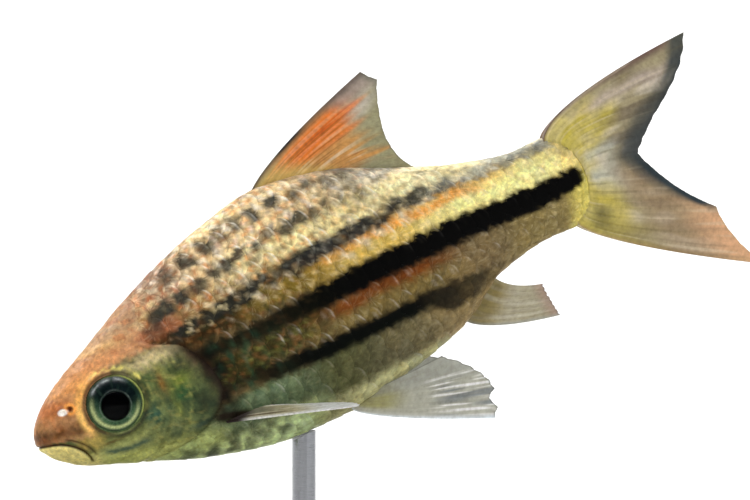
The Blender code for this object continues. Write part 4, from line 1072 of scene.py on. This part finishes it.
def paint_pectoral(u, s, ray, left):
    fine = fan_noise(u, s, 40, 3.0, 40)
    # painted highlights: the white edges of the pectoral fins
    painted_highlight_edges = np.maximum(fade(u, 0.0, 0.16), smooth(u, 0.84, 1.0) * smooth(s, 0.3, 0.6))
    tone = layered(
        linear(206, 198, 160),
        ((246, 240, 214), smooth(fine, 0.0, 0.8) * 0.7),
        ((112, 112, 84), smooth(u, 0.25, 0.5) * fade(s, 0.25, 0.55) * 0.85),
        ((84, 52, 26), bump(u, 0.24, 0.06) * window(s, 0.1, 0.45, 0.1) * 0.8),
        ((255, 254, 244), painted_highlight_edges),
        # painted light: the outer half of the fin whitened
        ((250, 254, 255), smooth(s, 0.5, 0.8) * 0.85),
        ((40, 24, 18), fade(s, 0.14, 0.26)),
    )
    return tone, 0.75 + 0.2 * ray + 0.3 * painted_highlight_edges + 0.3 * smooth(s, 0.5, 0.8) + 0.5 * fade(s, 0.1, 0.3)


DORSAL_RAYS, ANAL_RAYS, CAUDAL_RAYS, CAUDAL_BEND_RAYS, PECTORAL_RAYS, PELVIC_RAYS = 11, 8, 19, 5, 9, 9


def fins():
    """Each fin from the points its rays start and end at, in the fish's frame."""
    xs = np.linspace(36.9, 54.8, DORSAL_RAYS)
    roots = np.stack([xs, xs * 0, section(xs)[0] - SINK], axis=1)
    rear = curve((58.4, 0.0, 22.1), (54.6, 0.0, 13.4), (58.6, 0.0, 9.8), DORSAL_RAYS - 1)
    tips, bows = np.vstack([(56.7, 0.0, 23.9), rear]), [(-0.4, 0.0, 1.1), (0.0, 0.0, 0.1)]
    fin("dorsal_fin", roots, tips, bows, paint_dorsal, "dorsal_fin", (0.2, 0.09), 0.1, 5, per_ray=18, ripple=0.12)

    xs = np.linspace(56.5, 62.4, ANAL_RAYS)
    roots = np.stack([xs, xs * 0, section(xs)[1] + SINK], axis=1)
    tips = curve((69.0, 0.0, -15.9), (68.4, 0.0, -13.4), (68.4, 0.0, -11.1), ANAL_RAYS)
    bows = [(-0.4, 0.0, -1.1), (0.0, 0.0, -1.1)]
    fin("anal_fin", roots, tips, bows, paint_anal, "clear_fin", (0.14, 0.08), 0.14, 6, ripple=0.08)

    turn = np.linspace(math.radians(80), -math.radians(80), CAUDAL_RAYS)
    back, middle = STATIONS[-1, 1], STATIONS[-1, 4]
    rise = (back - middle - SINK * 0.6) * np.sin(turn)
    roots = np.stack([ROUND_FROM + (BODY_END - ROUND_FROM - SINK) * np.cos(turn), turn * 0, middle + rise], axis=1)
    inner = CAUDAL_RAYS // 2 + 2 - CAUDAL_BEND_RAYS
    tips = np.vstack(
        [
            curve((100.4, 0.0, 11.4), (98.9, 0.0, 7.3), (94.4, 0.0, 4.6), CAUDAL_BEND_RAYS),
            curve((94.4, 0.0, 4.6), (89.9, 0.0, 1.8), (87.8, 0.0, -0.8), inner)[1:],
            curve((87.8, 0.0, -0.8), (90.0, 0.0, -7.0), (95.2, 0.0, -11.8), inner)[1:],
            curve((95.2, 0.0, -11.8), (95.3, 0.0, -16.3), (98.5, 0.0, -21.7), CAUDAL_BEND_RAYS)[1:],
        ]
    )
    bows, thick = [(-0.4, 0.0, 1.9), (-0.4, 0.0, -1.1)], (0.22, 0.09)
    fin("caudal_fin", roots, tips, bows, paint_caudal, "caudal_fin", thick, 0.12, 7, rows=76, ripple=0.12, flare=0.6)

    share = np.linspace(0.0, 1.0, PECTORAL_RAYS)
    xs, zs = 20.8 + 3.0 * share, -8.55 - 0.25 * share
    out, drop = np.radians(31 - 22 * share), math.radians(15)
    length = 18.5 - 10.5 * share**1.5
    roots = np.stack([xs, surface_y(xs, zs) - SINK, zs], axis=1)
    run = length * np.cos(out)
    tips = roots + np.stack([run * math.cos(drop), length * np.sin(out), -run * math.sin(drop)], axis=1)
    low = curve((37.7, 2.2, -14.6), (39.25, 2.1, -14.15), (40.8, 2.0, -13.7), PELVIC_RAYS)
    ends = curve((53.7, 5.5, -23.2), (58.1, 5.0, -19.0), (50.9, 3.6, -13.3), PELVIC_RAYS)
    ends[2] += (low[2] - ends[2]) * 0.06
    for side, name in SIDES:
        flip, node = np.array((1, side, 1)), f"pectoral_fin_{name}"
        bows = [(0.1, side * 0.7, 0.1), (0.1, side * 0.7, 0.6)]
        fin(node, roots * flip, tips * flip, bows, paint_pectoral, "clear_fin", (0.3, 0.09), 0.2, 8)
        bows, node = [(-0.2, side * 0.4, -0.7), (0.0, side * 0.4, 0.0)], f"pelvic_fin_{name}"
        fin(node, low * flip, ends * flip, bows, paint_pelvic, "clear_fin", (0.13, 0.08), 0.14, 9, ripple=0.14)


# Eyes

EYE_WIDE = EYE_RADIUS / math.sqrt(1 - (EYE_SINK / EYE_DEPTH) ** 2)
PUPIL, PUPIL_DROP, IRIS = 1.83, 0.28, 3.15  # the pupil lies a little below the eye's axis


def dome(radius):
    """Height of the eye's clear front over the plane of its rim."""
    return EYE_DEPTH * np.sqrt(clamp(1 - (radius / EYE_WIDE) ** 2)) - EYE_SINK


def eye_colour(radius, angle):
    """The iris and pupil. Angle 0 is towards the tail and a quarter turn is up."""
    up, back = np.sin(angle), np.cos(angle)
    streak = wave_noise(np.stack([back * 6, up * 6, radius * 0.5], axis=1), 2.0, 41)
    cloud = wave_noise(np.stack([back * radius, up * radius, radius * 0], axis=1), 1.6, 42)
    bright = smooth(-up - 0.5 * back, -0.4, 0.6)
    margin = (0.3 + 0.4 * np.abs(back) * (up < 0.5)) * (0.8 + 0.3 * streak)
    return layered(
        linear(34, 58, 46),
        ((84, 116, 82), smooth(-up - 0.3 * back, -0.3, 0.7) * 0.8),
        ((10, 20, 26), smooth(up + 0.5 * back, -0.1, 0.6) * fade(radius, 2.7, 3.1) * 0.92),
        # a painted reflection: grey and silver-white streaks over the top of the iris, near its rim
        ((146, 146, 154), smooth(up, 0.5, 0.85) * bump(radius, 3.12, 0.28) * (0.6 + 0.35 * streak)),
        ((214, 218, 220), smooth(up, 0.55, 0.9) * bump(radius, 3.02, 0.09) * smooth(cloud, -0.3, 0.6) * 0.8),
        ((50, 70, 58), smooth(-streak, 0.2, 1.2) * 0.45),
        ((140, 152, 122), smooth(streak + 0.5 * cloud, 0.6, 1.4) * 0.35 * bright),
        ((208, 214, 150), bump(radius, 2.84, 0.26) * bright * 0.9),
        ((44, 58, 44), bump(radius, 3.27, 0.14) * (0.3 + 0.5 * bright)),
        ((190, 200, 110), bump(radius, 3.46, 0.1) * (0.15 + 0.8 * smooth(back + 0.3 * up, -0.1, 0.7))),
        ((40, 36, 28), bump(radius, 3.5, 0.13) * smooth(up - 0.8 * back, 0.0, 0.8) * 0.9),
        ((130, 142, 134), bump(radius, PUPIL + 0.09, 0.06) * margin),
        ((1, 1, 2), fade(radius, PUPIL - 0.05, PUPIL + 0.03)),
    )


def lathe(name, profile, side, material, nodes=(), drop=0.0, **paint):
    """A round piece about the eye's axis. profile is (radius, height) from the middle of its front round to its back.

    drop is how far down the pupil lies from that axis.
    """
    radius, height = np.array(profile, float).T
    count = 96
    centre, turn = eye_frame(side)
    r, h = np.repeat(radius, count), np.repeat(height, count)
    a = np.tile(2 * math.pi * np.arange(count) / count, len(radius))
    low = drop * fade(r, PUPIL, 3.1)
    points = centre + np.stack([r * np.cos(a), r * np.sin(a) - low, h], axis=1) @ turn.T
    points = np.vstack([points, centre + turn @ (0, -drop, height[0]), centre + turn @ (0, 0, height[-1])])
    r, a = np.concatenate([r, [0, 0]]), np.concatenate([a, [0, 0]])
    looks = {key: value(r, a) for key, value in paint.items()}
    piece(name, points, capped_tube(len(radius), count), material, "eye", nodes, **looks)


def eyes():
    """The iris round a domed pupil, and a clear cornea over both."""
    made = Shader("eye_iris", specular_ior_level=0.0, coat_weight=0.3, coat_roughness=0.04, coat_ior=1.25)
    grain = made.noise(5.0, 4.0)
    made.feed("Base Color", made.stain(made.tone(), linear(60, 66, 56), grain, 0.35, 0.7, 0.45))
    made.rough(grain, 0.35, 0.55)
    made.relief(grain, 0.05, 0.5)
    clear = Shader("eye_cornea")
    clear.surface(clear.node("BsdfTransparent", Color=(0.97, 0.98, 0.97, 1.0)).outputs[0])
    level = dome(PUPIL) - 0.5  # how high the iris lies at its inner edge
    profile = []
    for r in np.linspace(0.05, PUPIL, 14):
        profile.append((r, level + 0.1 + 0.34 * math.sqrt(1 - (r / (PUPIL + 0.1)) ** 2)))
    for r in np.linspace(PUPIL + 0.04, IRIS, 16):
        share = (r - PUPIL) / (IRIS - PUPIL)
        profile.append((r, level + (dome(IRIS) - 0.16 - level) * share**0.9 + 0.05 * bump(r, PUPIL + 0.1, 0.1)))
    for r in np.linspace(IRIS + 0.05, 3.78, 9):
        profile.append((r, dome(r) - 0.05 * smooth(3.5 - r, 0.0, 0.3)))
    for a in np.linspace(-0.15, -1.5, 10):
        profile.append((EYE_WIDE * math.cos(a), -EYE_SINK + (EYE_DEPTH - 0.1) * math.sin(a)))
    shell = [(r, dome(r) + 0.01) for r in np.linspace(0.04, 3.42, 30)]
    shell += [(r, dome(r) - 0.05) for r in np.linspace(3.42, 0.04, 24)]
    for side, name in SIDES:
        lathe(f"eye_{name}_iris", profile, side, made.material, (f"eye_{name}",), PUPIL_DROP, tone=eye_colour)
        lathe(f"eye_{name}_cornea", shell, side, clear.material)


# The stand, the floor, light and camera

# Here sizes are in metres
PALE_FLOOR, AMBIENT = ((0.86, 0.86, 0.855), (0.9, 0.9, 0.895)), 0.16
CAMERA_AT, CAMERA_AIM, LENS = (-0.067778, -0.269153, 0.049632), (0.0094, 0.0, 0.049632), 104.743
FISH_AT, BACKDROP_AT = (0.0, 0.0, 0.045), (0.0, 2.0, 0.2)
# name, place, what it points at, size, watts, tint
LAMPS = (
    ("key", (-0.30, -0.42, 0.52), FISH_AT, 0.34, 2.6, (1.0, 0.98, 0.95)),
    ("fill", (0.45, -0.5, 0.12), FISH_AT, 0.5, 0.7, (1.0, 1.0, 1.0)),
    ("top", (0.1, 0.12, 0.6), FISH_AT, 0.4, 1.6, (1.0, 1.0, 1.0)),
    ("backdrop_left", (-1.6, 0.9, 1.6), BACKDROP_AT, 1.0, 40.0, (1.0, 1.0, 1.0)),
    ("backdrop_right", (1.6, 0.9, 1.6), BACKDROP_AT, 1.0, 40.0, (1.0, 1.0, 1.0)),
)


def stand():
    base, rod = Shader("stand_black", coat_weight=0.25, coat_roughness=0.2), Shader("stand_steel", metallic=1.0)
    grain, brushed = base.noise(0.9, 5.0), rod.noise(1.0, 4.0, rod.place((0.6, 0.6, 9.0)))
    base.feed("Base Color", base.blend(base.span(grain, 0.3, 0.7), linear(20, 20, 22), linear(33, 33, 35)))
    base.rough(grain, 0.3, 0.42)
    base.relief(base.noise(5.0, 3.0), 0.02, 0.4)
    rod.feed("Base Color", rod.blend(rod.span(brushed, 0.3, 0.7), linear(134, 136, 140), linear(148, 150, 154)))
    rod.rough(brushed, 0.26, 0.34)
    rod.relief(brushed, 0.004, 0.2)
    for name, material in (("stand_base", base.material), ("stand_rod", rod.material)):
        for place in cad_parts[name].material_slots:
            place.material = material


def stage():
    """A plain pale floor that sweeps up into a backdrop behind the fish."""
    across, front, back, bend, high = 4.5, -4.0, 1.5, 0.6, 2.6
    line = [(front, 0.0), (back, 0.0)]
    line += [(back + bend * math.sin(a), bend - bend * math.cos(a)) for a in np.linspace(0.1, math.pi / 2, 16)]
    line.append((back + bend, high))
    points = [(side * across, y, z) for y, z in line for side in (-1, 1)]
    faces = [(2 * i, 2 * i + 1, 2 * i + 3, 2 * i + 2) for i in range(len(line) - 1)]
    mesh = bpy.data.meshes.new("floor")
    mesh.from_pydata(points, [], faces)
    mesh.shade_smooth()
    floor = bpy.data.objects.new("floor", mesh)
    bpy.context.scene.collection.objects.link(floor)
    made = Shader("floor_pale", roughness=0.8)
    made.feed("Base Color", made.blend(made.span(made.noise(0.02, 3.0), 0.3, 0.7), *PALE_FLOOR))
    mesh.materials.append(made.material)


def put(name, data, place, target):
    """A lamp or a camera, turned from its place towards its target."""
    obj = bpy.data.objects.new(name, data)
    obj.location = place
    obj.rotation_euler = (Vector(target) - Vector(place)).to_track_quat("-Z", "Y").to_euler()
    bpy.context.scene.collection.objects.link(obj)
    return obj


def light_and_camera():
    scene, world = bpy.context.scene, bpy.data.worlds.new("studio")
    scene.view_settings.view_transform = "Standard"
    world.use_nodes = True
    background = world.node_tree.nodes["Background"].inputs
    background["Color"].default_value, background["Strength"].default_value = (1.0, 1.0, 1.0, 1.0), AMBIENT
    scene.world = world
    for name, place, target, size, watts, tint in LAMPS:
        data = bpy.data.lights.new(name, "AREA")
        data.shape = "DISK"
        data.size, data.energy, data.color = size, watts, tint
        put(name, data, place, target)
    data = bpy.data.cameras.new("camera")
    data.lens, data.sensor_width = LENS, 36.0
    data.clip_start, data.clip_end = 0.01, 20.0
    scene.camera = put("camera", data, CAMERA_AT, CAMERA_AIM)


light_and_camera()
FIN_MATERIAL = fin_material()
skin()
scales()
fins()
eyes()
stand()
stage()
bpy.context.view_layer.update()
